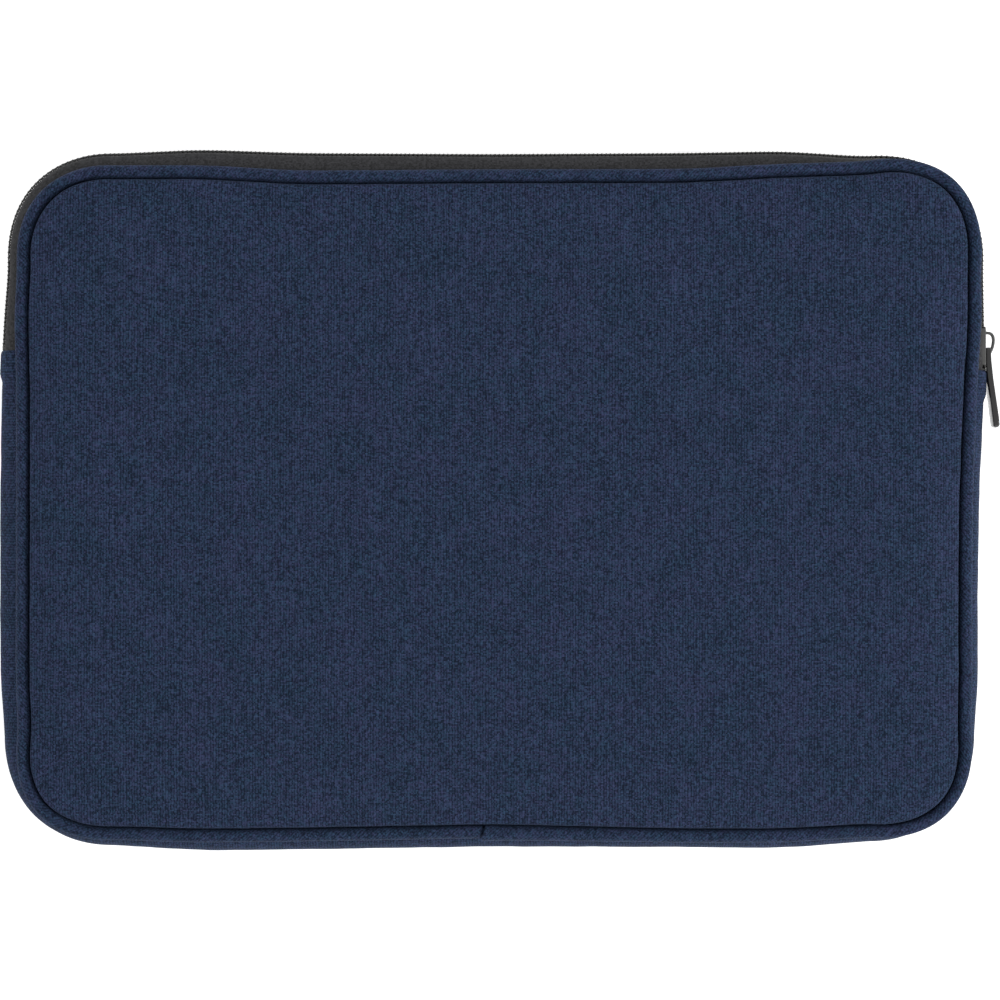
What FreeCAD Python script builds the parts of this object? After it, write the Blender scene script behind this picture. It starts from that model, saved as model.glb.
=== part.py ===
import FreeCAD, Part
import math
import os
import Sketcher

# A zipped laptop sleeve, lying flat, in millimetres.
# X runs along the width, Y along the height (the zipped top edge is at +Y) and Z through the thickness.
# The origin is the centre of the back panel's outer face, and the front panel faces +Z.
# Both panels end at a seam line: a rounded rectangle seen along Z. "Reach" is a distance outside it.

DRIVING_SIZES = {
    "thickness": "27",
    "seam_half_width": "173.9",
    "seam_half_height": "120.4",
    "seam_corner": "31",
    "seam_depth": "5.1",
    "seam_allowance": "6",
    "cover_wall": "0.9",
    "cover_roll": "4",
    "lining_wall": "0.5",
    "binding_wall": "0.5",
    "binding_leg": "4",
    "piping_radius": "2.45",
    "piping_wall": "0.45",
    "piping_reach": "2.55",
    "piping_depth": "3",
    "piping_flange": "0.5",
    "piping_flange_reach": "2",
    "gusset_wall": "1",
    "gusset_padding": "1.9",
    "gusset_start": "2.7",
    "tape_wall": "0.6",
    "tape_reach": "9",
    "tape_bend": "4.7",
    "coil_gap": "1.3",
    "coil_width": "2.45",
    "coil_height": "1.6",
    "zip_end_left": "55.6",
    "zip_end_right": "48.1",
    "top_stop_length": "1.1",
    "bottom_stop_length": "2",
    "stop_wall": "0.1",
    "fold_line": "96",
    "fold_gap": "0.3",
    "slider_bottom": "49.4",
    "slider_length": "15.6",
    "slider_width": "8",
    "slider_mouth_taper": "0.7",
    "slider_plate": "0.9",
    "slider_rail": "0.7",
    "slider_rail_depth": "1.5",
    "slider_base_reach": "10.75",
    "slider_throat": "2.75",
    "divider_width": "1",
    "divider_length": "3.5",
    "bridge_bottom": "4.4",
    "bridge_length": "9.4",
    "bridge_height": "3.45",
    "bridge_wire": "1.1",
    "bridge_width": "2.2",
    "bridge_corner": "2.4",
    "pull_axle_reach": "12.8",
    "pull_axle_lift": "6.9",
    "pull_axle_radius": "0.7",
    "pull_head_top": "0.6",
    "pull_window": "8.5",
    "pull_window_width": "3.2",
    "pull_width": "8",
    "pull_length": "30.5",
    "pull_head": "1.6",
    "pull_leaf": "2.4",
    "pull_corner": "2",
}
PULL_TILT = 5.6
THIN_PIECE = 0.01
QUARTER_TURN = math.pi / 2

doc = FreeCAD.newDocument("LaptopSleeve")
sheet = doc.addObject("Spreadsheet::Sheet", "Dims")
for row, (alias, number) in enumerate(DRIVING_SIZES.items(), start=1):
    sheet.set(f"A{row}", alias.replace("_", " "))
    sheet.set(f"B{row}", number)
    sheet.setAlias(f"B{row}", alias)
doc.recompute()


class Size:
    """A length that carries its value and the spreadsheet expression it comes from."""

    def __init__(self, text, value):
        self.text = text
        self.value = value

    def joined(self, sign, other, value):
        return Size(f"({self.text} {sign} {other.text})", value)

    def __add__(self, other):
        return self.joined("+", other, self.value + other.value)

    def __sub__(self, other):
        return self.joined("-", other, self.value - other.value)

    def half(self):
        return Size(f"({self.text} / 2)", self.value / 2)

    def twice(self):
        return Size(f"(2 * {self.text})", self.value * 2)

    def negative(self):
        return Size(f"(0 - {self.text})", -self.value)


def size(alias):
    return Size(f"Dims.{alias}", float(sheet.get(alias)))


NOTHING = Size("0", 0.0)
THICKNESS = size("thickness")
MIDDLE = THICKNESS.half()
WIDTH_SIDE = size("seam_half_width")
HEIGHT_SIDE = size("seam_half_height")
SEAM = THICKNESS - size("seam_depth")
COVER_INSIDE = THICKNESS - size("cover_wall")
LINING_TOP = SEAM + size("lining_wall")
FLANGE = SEAM - size("piping_flange")
FLANGE_EDGE = size("seam_allowance").negative()
BINDING_EDGE = FLANGE_EDGE - size("binding_wall")
GUSSET_INSIDE = FLANGE - size("gusset_wall")
COIL_REACH = size("tape_reach") + size("coil_height")
COIL_EDGE = MIDDLE + size("coil_gap").half()
FOLD_LOWER = size("fold_line") - size("fold_gap").half()
FOLD_UPPER = size("fold_line") + size("fold_gap").half()
SIDE_MARGIN = WIDTH_SIDE + size("seam_corner")
TOP_MARGIN = HEIGHT_SIDE + size("seam_corner")


def new_body(label):
    body = doc.addObject("PartDesign::Body", label)
    body.Label = label
    return body


def origin_plane(body, role):
    return next(feature for feature in body.Origin.OriginFeatures if feature.Role == role)


def new_sketch(body, name, role, lift=NOTHING):
    """Attach an empty sketch to one of the body's origin planes, lifted along the plane's normal."""
    sketch = body.newObject("Sketcher::SketchObject", name)
    sketch.AttachmentSupport = (origin_plane(body, role), [""])
    sketch.MapMode = "FlatFace"
    sketch.setExpression("AttachmentOffset.Base.z", lift.text)
    return sketch


def bind(sketch, name, constraint, length):
    index = sketch.addConstraint(constraint)
    sketch.renameConstraint(index, name)
    sketch.setExpression(f"Constraints.{name}", length.text)


def pin_point(sketch, name, geometry, point, across, up):
    """Hold one point of the sketch at (across, up) from the sketch's origin."""
    for axis, kind, place in (("x", "DistanceX", across), ("y", "DistanceY", up)):
        ends = (-1, 1, geometry, point) if place.value >= 0 else (geometry, point, -1, 1)
        distance = place if place.value >= 0 else place.negative()
        constraint = Sketcher.Constraint(kind, *ends, abs(place.value))
        bind(sketch, f"{name}_{axis}", constraint, distance)


def draw_polygon(sketch, corners):
    """Draw a closed polygon through corners given as (across, up)."""
    points = [FreeCAD.Vector(across.value, up.value, 0) for across, up in corners]
    for start, end in zip(points, points[1:] + points[:1]):
        sketch.addGeometry(Part.LineSegment(start, end), False)
    count = len(corners)
    for index, (across, up) in enumerate(corners):
        sketch.addConstraint(Sketcher.Constraint("Coincident", index, 2, (index + 1) % count, 1))
        pin_point(sketch, f"corner{index}", index, 1, across, up)


def draw_circle(sketch, name, across, up, radius):
    centre = FreeCAD.Vector(across.value, up.value, 0)
    circle = Part.Circle(centre, FreeCAD.Vector(0, 0, 1), radius.value)
    index = sketch.addGeometry(circle, False)
    pin_point(sketch, name, index, 3, across, up)
    bind(sketch, f"{name}_radius", Sketcher.Constraint("Radius", index, radius.value), radius)


def draw_half_ring(sketch, inner, outer, start, top, bottom, wall):
    """Draw a C section that opens towards -X: two flat legs from inner to start, then a half circle."""
    flats = (
        (inner, top, start, top),
        (start, bottom, inner, bottom),
        (inner, bottom, inner, bottom + wall),
        (inner, bottom + wall, start, bottom + wall),
        (start, top - wall, inner, top - wall),
        (inner, top - wall, inner, top),
    )
    for first_across, first_up, second_across, second_up in flats:
        first = FreeCAD.Vector(first_across.value, first_up.value, 0)
        second = FreeCAD.Vector(second_across.value, second_up.value, 0)
        sketch.addGeometry(Part.LineSegment(first, second), False)
    centre = FreeCAD.Vector(start.value, (top.value + bottom.value) / 2, 0)
    for radius in (outer.value, outer.value - wall.value):
        circle = Part.Circle(centre, FreeCAD.Vector(0, 0, 1), radius)
        sketch.addGeometry(Part.ArcOfCircle(circle, -QUARTER_TURN, QUARTER_TURN), False)
    outer_arc, inner_arc = 6, 7
    joints = (
        (0, 2, outer_arc, 2),
        (outer_arc, 1, 1, 1),
        (1, 2, 2, 1),
        (2, 2, 3, 1),
        (3, 2, inner_arc, 1),
        (inner_arc, 2, 4, 1),
        (4, 2, 5, 1),
        (5, 2, 0, 1),
    )
    for joint in joints:
        sketch.addConstraint(Sketcher.Constraint("Coincident", *joint))
    pin_point(sketch, "outer_top", 0, 2, start, top)
    pin_point(sketch, "outer_bottom", 1, 1, start, bottom)
    pin_point(sketch, "edge_bottom", 2, 1, inner, bottom)
    pin_point(sketch, "edge_bottom_inside", 3, 1, inner, bottom + wall)
    pin_point(sketch, "inner_bottom", 3, 2, start, bottom + wall)
    pin_point(sketch, "inner_top", 4, 1, start, top - wall)
    pin_point(sketch, "edge_top_inside", 5, 1, inner, top - wall)
    pin_point(sketch, "edge_top", 0, 1, inner, top)
    for arc, name in ((outer_arc, "outer_centre"), (inner_arc, "inner_centre")):
        centring = Sketcher.Constraint("DistanceX", -1, 1, arc, 3, start.value)
        bind(sketch, name, centring, start)


def draw_seam_outline(sketch, reach):
    """Draw the seam line's rounded rectangle, moved outwards by reach."""
    across = WIDTH_SIDE + reach
    up = HEIGHT_SIDE + reach
    corner = size("seam_corner") + reach
    right, top, radius = across.value, up.value, corner.value
    flat_x, flat_y = right - radius, top - radius
    normal = FreeCAD.Vector(0, 0, 1)

    def line(start, end):
        sketch.addGeometry(Part.LineSegment(FreeCAD.Vector(*start, 0), FreeCAD.Vector(*end, 0)), False)

    def arc(centre, start_quarter):
        circle = Part.Circle(FreeCAD.Vector(*centre, 0), normal, radius)
        start = start_quarter * QUARTER_TURN
        sketch.addGeometry(Part.ArcOfCircle(circle, start, start + QUARTER_TURN), False)

    line((-flat_x, top), (flat_x, top))
    arc((flat_x, flat_y), 0)
    line((right, flat_y), (right, -flat_y))
    arc((flat_x, -flat_y), -1)
    line((flat_x, -top), (-flat_x, -top))
    arc((-flat_x, -flat_y), 2)
    line((-right, -flat_y), (-right, flat_y))
    arc((-flat_x, flat_y), 1)
    for side in range(0, 8, 2):
        corner_arc = side + 1
        next_side = (side + 2) % 8
        sketch.addConstraint(Sketcher.Constraint("Tangent", side, 2, corner_arc, 2))
        sketch.addConstraint(Sketcher.Constraint("Tangent", corner_arc, 1, next_side, 1))
    for side in (0, 4):
        sketch.addConstraint(Sketcher.Constraint("Horizontal", side))
    for side in (2, 6):
        sketch.addConstraint(Sketcher.Constraint("Vertical", side))
    for corner_arc in (3, 5, 7):
        sketch.addConstraint(Sketcher.Constraint("Equal", 1, corner_arc))
    bind(sketch, "right", Sketcher.Constraint("DistanceX", -1, 1, 2, 1, right), across)
    bind(sketch, "left", Sketcher.Constraint("DistanceX", 6, 1, -1, 1, right), across)
    bind(sketch, "top", Sketcher.Constraint("DistanceY", -1, 1, 0, 1, top), up)
    bind(sketch, "bottom", Sketcher.Constraint("DistanceY", 4, 1, -1, 1, top), up)
    bind(sketch, "corner", Sketcher.Constraint("Radius", 1, radius), corner)


def pad(body, name, sketch, length, both_ways=False):
    feature = body.newObject("PartDesign::Pad", name)
    feature.Profile = sketch
    feature.SideType = "Symmetric" if both_ways else "One side"
    feature.setExpression("Length", length.text)
    return feature


def through_pocket(body, name, sketch, length):
    """Cut the sketch's shape out both ways from its plane, and stop if nothing was removed."""
    doc.recompute()
    before = body.Shape.Volume
    feature = body.newObject("PartDesign::Pocket", name)
    feature.Profile = sketch
    feature.SideType = "Symmetric"
    feature.setExpression("Length", length.text)
    doc.recompute()
    if body.Shape.Volume > before - THIN_PIECE:
        raise RuntimeError(f"{body.Label}: {name} removed nothing")
    return feature


def cut_away(body, name, left, right, bottom, top):
    """Remove everything inside a rectangle seen along Z."""
    sketch = new_sketch(body, f"{name}_outline", "XY_Plane")
    draw_polygon(sketch, ((left, bottom), (right, bottom), (right, top), (left, top)))
    through_pocket(body, name, sketch, THICKNESS.twice().twice())


def sweep_round_seam(body, section, kind="PartDesign::AdditivePipe"):
    """Carry a section drawn on the XZ plane all the way round the seam line."""
    path = new_sketch(body, f"{section.Label}_path", "XY_Plane")
    draw_seam_outline(path, NOTHING)
    sweep = body.newObject(kind, f"{section.Label}_sweep")
    sweep.Profile = section
    sweep.Spine = path


def ring_section(body, name, corners):
    """Draw a polygon section on the XZ plane through corners given as (reach, height)."""
    sketch = new_sketch(body, name, "XZ_Plane")
    draw_polygon(sketch, [(WIDTH_SIDE + reach, height) for reach, height in corners])
    return sketch


def edges_at(feature, height):
    """Name the edges of the feature that lie in the plane Z = height."""
    names = []
    for index, edge in enumerate(feature.Shape.Edges, start=1):
        box = edge.BoundBox
        if abs(box.ZMin - height) < THIN_PIECE and abs(box.ZMax - height) < THIN_PIECE:
            names.append(f"Edge{index}")
    return names


def edges_along(feature, axis, lowest):
    """Name the straight edges that run along the axis and are at least that long."""
    names = []
    for index, edge in enumerate(feature.Shape.Edges, start=1):
        start, end = edge.Vertexes[0].Point, edge.Vertexes[-1].Point
        run = end - start
        if run.Length >= lowest and abs(run.dot(axis)) > run.Length - THIN_PIECE:
            names.append(f"Edge{index}")
    return names


def fillet(body, name, feature, edges, radius):
    rounded = body.newObject("PartDesign::Fillet", name)
    rounded.Base = (feature, edges)
    rounded.setExpression("Radius", radius.text)
    return rounded


def keep_below_fold(body):
    cut_away(body, "fold_cut", SIDE_MARGIN.negative(), SIDE_MARGIN, FOLD_LOWER, TOP_MARGIN)


def keep_above_fold(body):
    cut_away(body, "fold_cut", SIDE_MARGIN.negative(), SIDE_MARGIN, TOP_MARGIN.negative(), FOLD_UPPER)


def keep_whole(body):
    doc.recompute()


def turn_to_back(body):
    """Turn a piece modelled on the front over to the back, half a turn about the Y direction."""
    body.Placement = FreeCAD.Placement(
        FreeCAD.Vector(0, 0, THICKNESS.value),
        FreeCAD.Rotation(FreeCAD.Vector(0, 1, 0), 180),
    )
    body.setExpression("Placement.Base.z", THICKNESS.text)


def draw_roll_section(sketch, roll, wall):
    """Draw the cover's rim: a quarter turn from the flat face down to an upright end at the seam."""
    flat_end = WIDTH_SIDE - roll
    inside = WIDTH_SIDE - wall
    turn = THICKNESS - roll
    lines = (
        (WIDTH_SIDE, turn, WIDTH_SIDE, SEAM),
        (WIDTH_SIDE, SEAM, inside, SEAM),
        (inside, SEAM, inside, turn),
        (flat_end, COVER_INSIDE, flat_end, THICKNESS),
    )
    for first_across, first_up, second_across, second_up in lines:
        first = FreeCAD.Vector(first_across.value, first_up.value, 0)
        second = FreeCAD.Vector(second_across.value, second_up.value, 0)
        sketch.addGeometry(Part.LineSegment(first, second), False)
    centre = FreeCAD.Vector(flat_end.value, turn.value, 0)
    for radius in (roll.value, roll.value - wall.value):
        circle = Part.Circle(centre, FreeCAD.Vector(0, 0, 1), radius)
        sketch.addGeometry(Part.ArcOfCircle(circle, 0, QUARTER_TURN), False)
    outer_arc, inner_arc = 4, 5
    joints = (
        (0, 2, 1, 1),
        (1, 2, 2, 1),
        (2, 2, inner_arc, 1),
        (inner_arc, 2, 3, 1),
        (3, 2, outer_arc, 2),
        (outer_arc, 1, 0, 1),
    )
    for joint in joints:
        sketch.addConstraint(Sketcher.Constraint("Coincident", *joint))
    pin_point(sketch, "outer_turn", 0, 1, WIDTH_SIDE, turn)
    pin_point(sketch, "outer_seam", 1, 1, WIDTH_SIDE, SEAM)
    pin_point(sketch, "inner_seam", 2, 1, inside, SEAM)
    pin_point(sketch, "inner_turn", 2, 2, inside, turn)
    pin_point(sketch, "inner_flat", 3, 1, flat_end, COVER_INSIDE)
    pin_point(sketch, "outer_flat", 3, 2, flat_end, THICKNESS)
    for arc, name in ((outer_arc, "outer_centre"), (inner_arc, "inner_centre")):
        bind(sketch, name, Sketcher.Constraint("DistanceX", -1, 1, arc, 3, flat_end.value), flat_end)


def panel_cover(label, trim):
    """The outer fabric of a panel: a flat face whose rim rolls down to the seam."""
    body = new_body(label)
    rim = new_sketch(body, "rim", "XZ_Plane")
    roll = size("cover_roll")
    draw_roll_section(rim, roll, size("cover_wall"))
    sweep_round_seam(body, rim)
    outline = new_sketch(body, "face_outline", "XY_Plane", COVER_INSIDE)
    draw_seam_outline(outline, roll.negative())
    pad(body, "face", outline, size("cover_wall"))
    trim(body)
    return body


def panel_foam(label, trim):
    """The padding that fills the rolled cover."""
    body = new_body(label)
    outline = new_sketch(body, "outline", "XY_Plane", LINING_TOP)
    draw_seam_outline(outline, size("cover_wall").negative())
    slab = pad(body, "slab", outline, COVER_INSIDE - LINING_TOP)
    doc.recompute()
    roll = size("cover_roll") - size("cover_wall")
    fillet(body, "roll", slab, edges_at(slab, COVER_INSIDE.value), roll)
    trim(body)
    return body


def panel_lining(label, trim):
    """The inner fabric of a panel, ending at the seam binding."""
    body = new_body(label)
    outline = new_sketch(body, "outline", "XY_Plane", SEAM)
    draw_seam_outline(outline, BINDING_EDGE)
    pad(body, "sheet", outline, size("lining_wall"))
    trim(body)
    return body


def piping_cover(label, trim):
    """The fabric tube of the piping with the flange that is caught in the seam."""
    body = new_body(label)
    across = WIDTH_SIDE + size("piping_reach")
    up = THICKNESS - size("piping_depth")
    tube = new_sketch(body, "tube", "XZ_Plane")
    draw_circle(tube, "outside", across, up, size("piping_radius"))
    sweep_round_seam(body, tube)
    reach = size("piping_flange_reach")
    corners = ((FLANGE_EDGE, FLANGE), (reach, FLANGE), (reach, SEAM), (FLANGE_EDGE, SEAM))
    sweep_round_seam(body, ring_section(body, "flange", corners))
    bore = new_sketch(body, "bore", "XZ_Plane")
    draw_circle(bore, "inside", across, up, size("piping_radius") - size("piping_wall"))
    sweep_round_seam(body, bore, "PartDesign::SubtractivePipe")
    trim(body)
    return body


def piping_cord(label, trim):
    """The filler cord inside the piping."""
    body = new_body(label)
    section = new_sketch(body, "cord", "XZ_Plane")
    radius = size("piping_radius") - size("piping_wall")
    draw_circle(section, "cord", WIDTH_SIDE + size("piping_reach"), THICKNESS - size("piping_depth"), radius)
    sweep_round_seam(body, section)
    trim(body)
    return body


def seam_binding(label, trim):
    """The tape folded round the raw edges of the seam, inside the sleeve."""
    body = new_body(label)
    wall = size("binding_wall")
    upper_end = size("cover_wall").negative()
    lower_end = FLANGE_EDGE + size("binding_leg")
    corners = (
        (BINDING_EDGE, LINING_TOP),
        (upper_end, LINING_TOP),
        (upper_end, SEAM),
        (FLANGE_EDGE, SEAM),
        (FLANGE_EDGE, GUSSET_INSIDE),
        (lower_end, GUSSET_INSIDE),
        (lower_end, GUSSET_INSIDE - wall),
        (BINDING_EDGE, GUSSET_INSIDE - wall),
    )
    sweep_round_seam(body, ring_section(body, "fold", corners))
    trim(body)
    return body


def keep_gusset_run(body):
    """Keep the U round the left, bottom and right sides, below the two ends of the zip."""
    cut_away(body, "left_end", SIDE_MARGIN.negative(), NOTHING, size("zip_end_left"), TOP_MARGIN)
    cut_away(body, "right_end", NOTHING, SIDE_MARGIN, size("zip_end_right"), TOP_MARGIN)


def gusset_layer(label, depth, wall, edge):
    """One layer of the bulging side strip, depth inside its outer face."""
    body = new_body(label)
    section = new_sketch(body, "section", "XZ_Plane")
    top = FLANGE - depth
    bottom = THICKNESS - top
    outer_radius = top - MIDDLE
    start = WIDTH_SIDE + size("gusset_start")
    draw_half_ring(section, WIDTH_SIDE + edge, outer_radius, start, top, bottom, wall)
    sweep_round_seam(body, section)
    keep_gusset_run(body)
    return body


def zip_tape(label, trim):
    """One half of the zip's tape: a flange in the seam, a slope and an upright band up to the coil."""
    body = new_body(label)
    wall = size("tape_wall")
    knee = MIDDLE + size("tape_bend")
    start = size("gusset_start")
    reach = size("tape_reach")
    corners = (
        (FLANGE_EDGE, FLANGE),
        (start, FLANGE),
        (reach, knee),
        (reach, COIL_EDGE),
        (reach - wall, COIL_EDGE),
        (reach - wall, knee - wall.half()),
        (start, FLANGE - wall),
        (FLANGE_EDGE, FLANGE - wall),
    )
    sweep_round_seam(body, ring_section(body, "band", corners))
    trim(body)
    return body


def zip_coil(label, trim):
    """One half of the zip's coil, as the rail that its turns fill."""
    body = new_body(label)
    start = size("tape_reach")
    upper = COIL_EDGE + size("coil_width")
    corners = ((start, COIL_EDGE), (COIL_REACH, COIL_EDGE), (COIL_REACH, upper), (start, upper))
    sweep_round_seam(body, ring_section(body, "rail", corners))
    trim(body)
    return body


def zip_run(left_end, right_end):
    """Return the trim that keeps the top run of the zip, from the left end over to the right end."""

    def trim(body):
        cut_away(body, "below_left", SIDE_MARGIN.negative(), NOTHING, TOP_MARGIN.negative(), left_end)
        cut_away(body, "below_right", NOTHING, SIDE_MARGIN, TOP_MARGIN.negative(), right_end)

    return trim


def zip_side(left, right, end):
    """Return the trim that keeps one straight side of the zip, from its end up to the fold."""

    def trim(body):
        cut_away(body, "above_fold", SIDE_MARGIN.negative(), SIDE_MARGIN, FOLD_LOWER, TOP_MARGIN)
        cut_away(body, "below_end", SIDE_MARGIN.negative(), SIDE_MARGIN, TOP_MARGIN.negative(), end)
        cut_away(body, "other_side", left, right, TOP_MARGIN.negative(), TOP_MARGIN)

    return trim


def stop_block(label, side, low, high, first, last):
    """A stop clamped on the coil at a zip end, between two heights; side is +1 right, -1 left."""
    body = new_body(label)
    inner = WIDTH_SIDE + size("tape_reach")
    outer = WIDTH_SIDE + COIL_REACH + size("stop_wall")
    if side < 0:
        inner, outer = outer.negative(), inner.negative()
    sketch = new_sketch(body, "outline", "XY_Plane", low)
    draw_polygon(sketch, ((inner, first), (outer, first), (outer, last), (inner, last)))
    pad(body, "block", sketch, high - low)
    doc.recompute()
    return body


def slider_body(label):
    """The slider: two plates joined by the divider, side rails on the outer plate and a bridge."""
    body = new_body(label)
    bottom = size("slider_bottom")
    top = bottom + size("slider_length")
    half_width = size("slider_width").half()
    narrow = half_width - size("slider_mouth_taper")
    base = WIDTH_SIDE + size("slider_base_reach")
    plate = size("slider_plate")
    shape = (
        (bottom, MIDDLE - half_width),
        (top - half_width, MIDDLE - half_width),
        (top, MIDDLE - narrow),
        (top, MIDDLE + narrow),
        (top - half_width, MIDDLE + half_width),
        (bottom, MIDDLE + half_width),
    )
    outer = new_sketch(body, "outer_plate_outline", "YZ_Plane", base)
    draw_polygon(outer, shape)
    pad(body, "outer_plate", outer, plate)
    depth = size("slider_rail_depth")
    rail = size("slider_rail")
    for name, first, last in (
        ("rear_rail", MIDDLE - half_width, MIDDLE - half_width + rail),
        ("front_rail", MIDDLE + half_width - rail, MIDDLE + half_width),
    ):
        outline = new_sketch(body, f"{name}_outline", "YZ_Plane", base - depth)
        end = top - half_width
        draw_polygon(outline, ((bottom, first), (end, first), (end, last), (bottom, last)))
        pad(body, name, outline, depth)
    divider = new_sketch(body, "divider_outline", "YZ_Plane", base - size("slider_throat"))
    half_divider = size("divider_width").half()
    divider_top = bottom + size("divider_length")
    divider_corners = (
        (bottom, MIDDLE - half_divider),
        (divider_top, MIDDLE - half_divider),
        (divider_top, MIDDLE + half_divider),
        (bottom, MIDDLE + half_divider),
    )
    draw_polygon(divider, divider_corners)
    pad(body, "divider", divider, size("slider_throat"))
    inner = new_sketch(body, "inner_plate_outline", "YZ_Plane", base - size("slider_throat") - plate)
    draw_polygon(inner, shape)
    pad(body, "inner_plate", inner, plate)
    add_bridge(body, base + plate, bottom + size("bridge_bottom"))
    return body


def add_bridge(body, foot, start):
    """Stand the bent strip that carries the pull on the outer plate."""
    wire = size("bridge_wire")
    end = start + size("bridge_length")
    crown = foot + size("bridge_height")
    corner = size("bridge_corner")
    strip = new_sketch(body, "bridge_outline", "XY_Plane", MIDDLE)
    outside = (
        (foot - wire.half(), start),
        (crown - corner, start),
        (crown, start + corner),
        (crown, end - corner),
        (crown - corner, end),
        (foot - wire.half(), end),
    )
    draw_polygon(strip, outside)
    pad(body, "bridge", strip, size("bridge_width"), both_ways=True)
    window = new_sketch(body, "bridge_window", "XY_Plane", MIDDLE)
    inside = (
        (foot, start + wire),
        (crown - corner, start + wire),
        (crown - wire, start + corner),
        (crown - wire, end - corner),
        (crown - corner, end - wire),
        (foot, end - wire),
    )
    draw_polygon(window, inside)
    through_pocket(body, "bridge_opening", window, size("bridge_width").twice())


def pull_tab(label):
    """The pull: a round axle in the bridge, two arms beside it and a flat leaf, drawn hanging straight."""
    body = new_body(label)
    leaf = size("pull_leaf").half()
    head = size("pull_head").half()
    head_top = size("pull_head_top")
    window = size("pull_window").negative()
    shoulder = window - size("pull_leaf")
    tip = size("pull_length").negative()
    side_view = new_sketch(body, "side_view", "XY_Plane")
    outline = (
        (head.negative(), head_top),
        (head.negative(), window),
        (leaf.negative(), shoulder),
        (leaf.negative(), tip),
        (leaf, tip),
        (leaf, shoulder),
        (head, window),
        (head, head_top),
    )
    draw_polygon(side_view, outline)
    pad(body, "blank", side_view, size("pull_width"), both_ways=True)
    gap = size("pull_window_width").half()
    window_outline = new_sketch(body, "window_outline", "YZ_Plane")
    above_head = head_top.twice()
    corners = ((window, gap.negative()), (above_head, gap.negative()), (above_head, gap), (window, gap))
    draw_polygon(window_outline, corners)
    window_cut = through_pocket(body, "window", window_outline, size("pull_leaf").twice())
    long_edges = edges_along(window_cut, FreeCAD.Vector(1, 0, 0), size("pull_leaf").value - THIN_PIECE)
    fillet(body, "tip_corners", window_cut, long_edges, size("pull_corner"))
    axle_outline = new_sketch(body, "axle_outline", "XY_Plane")
    draw_circle(axle_outline, "axle", NOTHING, NOTHING, size("pull_axle_radius"))
    pad(body, "axle", axle_outline, size("pull_width"), both_ways=True)
    body.Placement = FreeCAD.Placement(
        FreeCAD.Vector(0, 0, 0),
        FreeCAD.Rotation(FreeCAD.Vector(0, 0, 1), PULL_TILT),
    )
    body.setExpression("Placement.Base.x", (WIDTH_SIDE + size("pull_axle_reach")).text)
    body.setExpression("Placement.Base.y", (size("slider_bottom") + size("pull_axle_lift")).text)
    body.setExpression("Placement.Base.z", MIDDLE.text)
    return body


def build_panel(side, region, trim):
    """Build the cover, foam, lining, piping and binding of one panel or part of a panel."""
    ending = f"_{region}" if region else ""
    return [
        panel_cover(f"{side}_panel_cover{ending}", trim),
        panel_foam(f"{side}_foam{ending}", trim),
        panel_lining(f"{side}_lining{ending}", trim),
        piping_cover(f"{side}_piping_cover{ending}", trim),
        piping_cord(f"{side}_piping_cord{ending}", trim),
        seam_binding(f"{side}_seam_binding{ending}", trim),
    ]


def build_gusset():
    """Build the three layers of the side strip: canvas, padding and lining."""
    wall = size("gusset_wall")
    padding = size("gusset_padding")
    inside_edge = FLANGE_EDGE + size("binding_leg")
    return [
        gusset_layer("gusset_cover", NOTHING, wall, FLANGE_EDGE),
        gusset_layer("gusset_foam", wall, padding, inside_edge),
        gusset_layer("gusset_lining", wall + padding, size("lining_wall"), inside_edge),
    ]


def build_zip():
    """Build both halves of the zip and its stops."""
    left_end = size("zip_end_left")
    right_end = size("zip_end_right")
    left_coil_end = left_end + size("bottom_stop_length")
    right_coil_end = right_end + size("top_stop_length")
    right_side = (SIDE_MARGIN.negative(), NOTHING)
    left_side = (NOTHING, SIDE_MARGIN)
    rear_tape = zip_tape("rear_zip_tape", zip_run(right_end, left_end))
    rear_coil = zip_coil("rear_zip_coil", zip_run(right_coil_end, left_coil_end))
    for body in (rear_tape, rear_coil):
        turn_to_back(body)
    coil_top = COIL_EDGE + size("coil_width")
    coil_bottom = THICKNESS - coil_top
    rear_edge = THICKNESS - COIL_EDGE
    return [
        rear_tape,
        rear_coil,
        zip_tape("front_zip_tape_top", keep_above_fold),
        zip_tape("front_zip_tape_left", zip_side(*left_side, left_end)),
        zip_tape("front_zip_tape_right", zip_side(*right_side, right_end)),
        zip_coil("front_zip_coil_top", keep_above_fold),
        zip_coil("front_zip_coil_left", zip_side(*left_side, left_coil_end)),
        zip_coil("front_zip_coil_right", zip_side(*right_side, right_coil_end)),
        stop_block("zip_top_stop_front", 1, COIL_EDGE, coil_top, right_end, right_coil_end),
        stop_block("zip_top_stop_rear", 1, coil_bottom, rear_edge, right_end, right_coil_end),
        stop_block("zip_bottom_stop", -1, coil_bottom, coil_top, left_end, left_coil_end),
    ]


def check_and_write(bodies):
    """Stop on any failed object or bad shape, then write one STEP file for each piece."""
    doc.recompute()
    for item in doc.Objects:
        if "Invalid" in item.State or "Error" in item.State:
            raise RuntimeError(f"{item.Name} failed: {item.State}")
    for body in bodies:
        if body.Shape.isNull() or not body.Shape.isValid() or len(body.Shape.Solids) != 1:
            raise RuntimeError(f"{body.Label} is not one valid solid")
    os.makedirs("parts", exist_ok=True)
    for body in bodies:
        body.Shape.exportStep(f"parts/{body.Label}.step")
        print(f"{body.Label}: {body.Shape.Volume / 1000:.2f} cm3")


back_panel = build_panel("back", "", keep_whole)
for piece in back_panel:
    turn_to_back(piece)
front_lower = build_panel("front", "lower", keep_below_fold)
front_upper = build_panel("front", "upper", keep_above_fold)
pieces = back_panel + front_lower + front_upper + build_gusset() + build_zip()
pieces.append(slider_body("slider_body"))
pieces.append(pull_tab("pull_tab"))
check_and_write(pieces)
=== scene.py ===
import math

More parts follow.
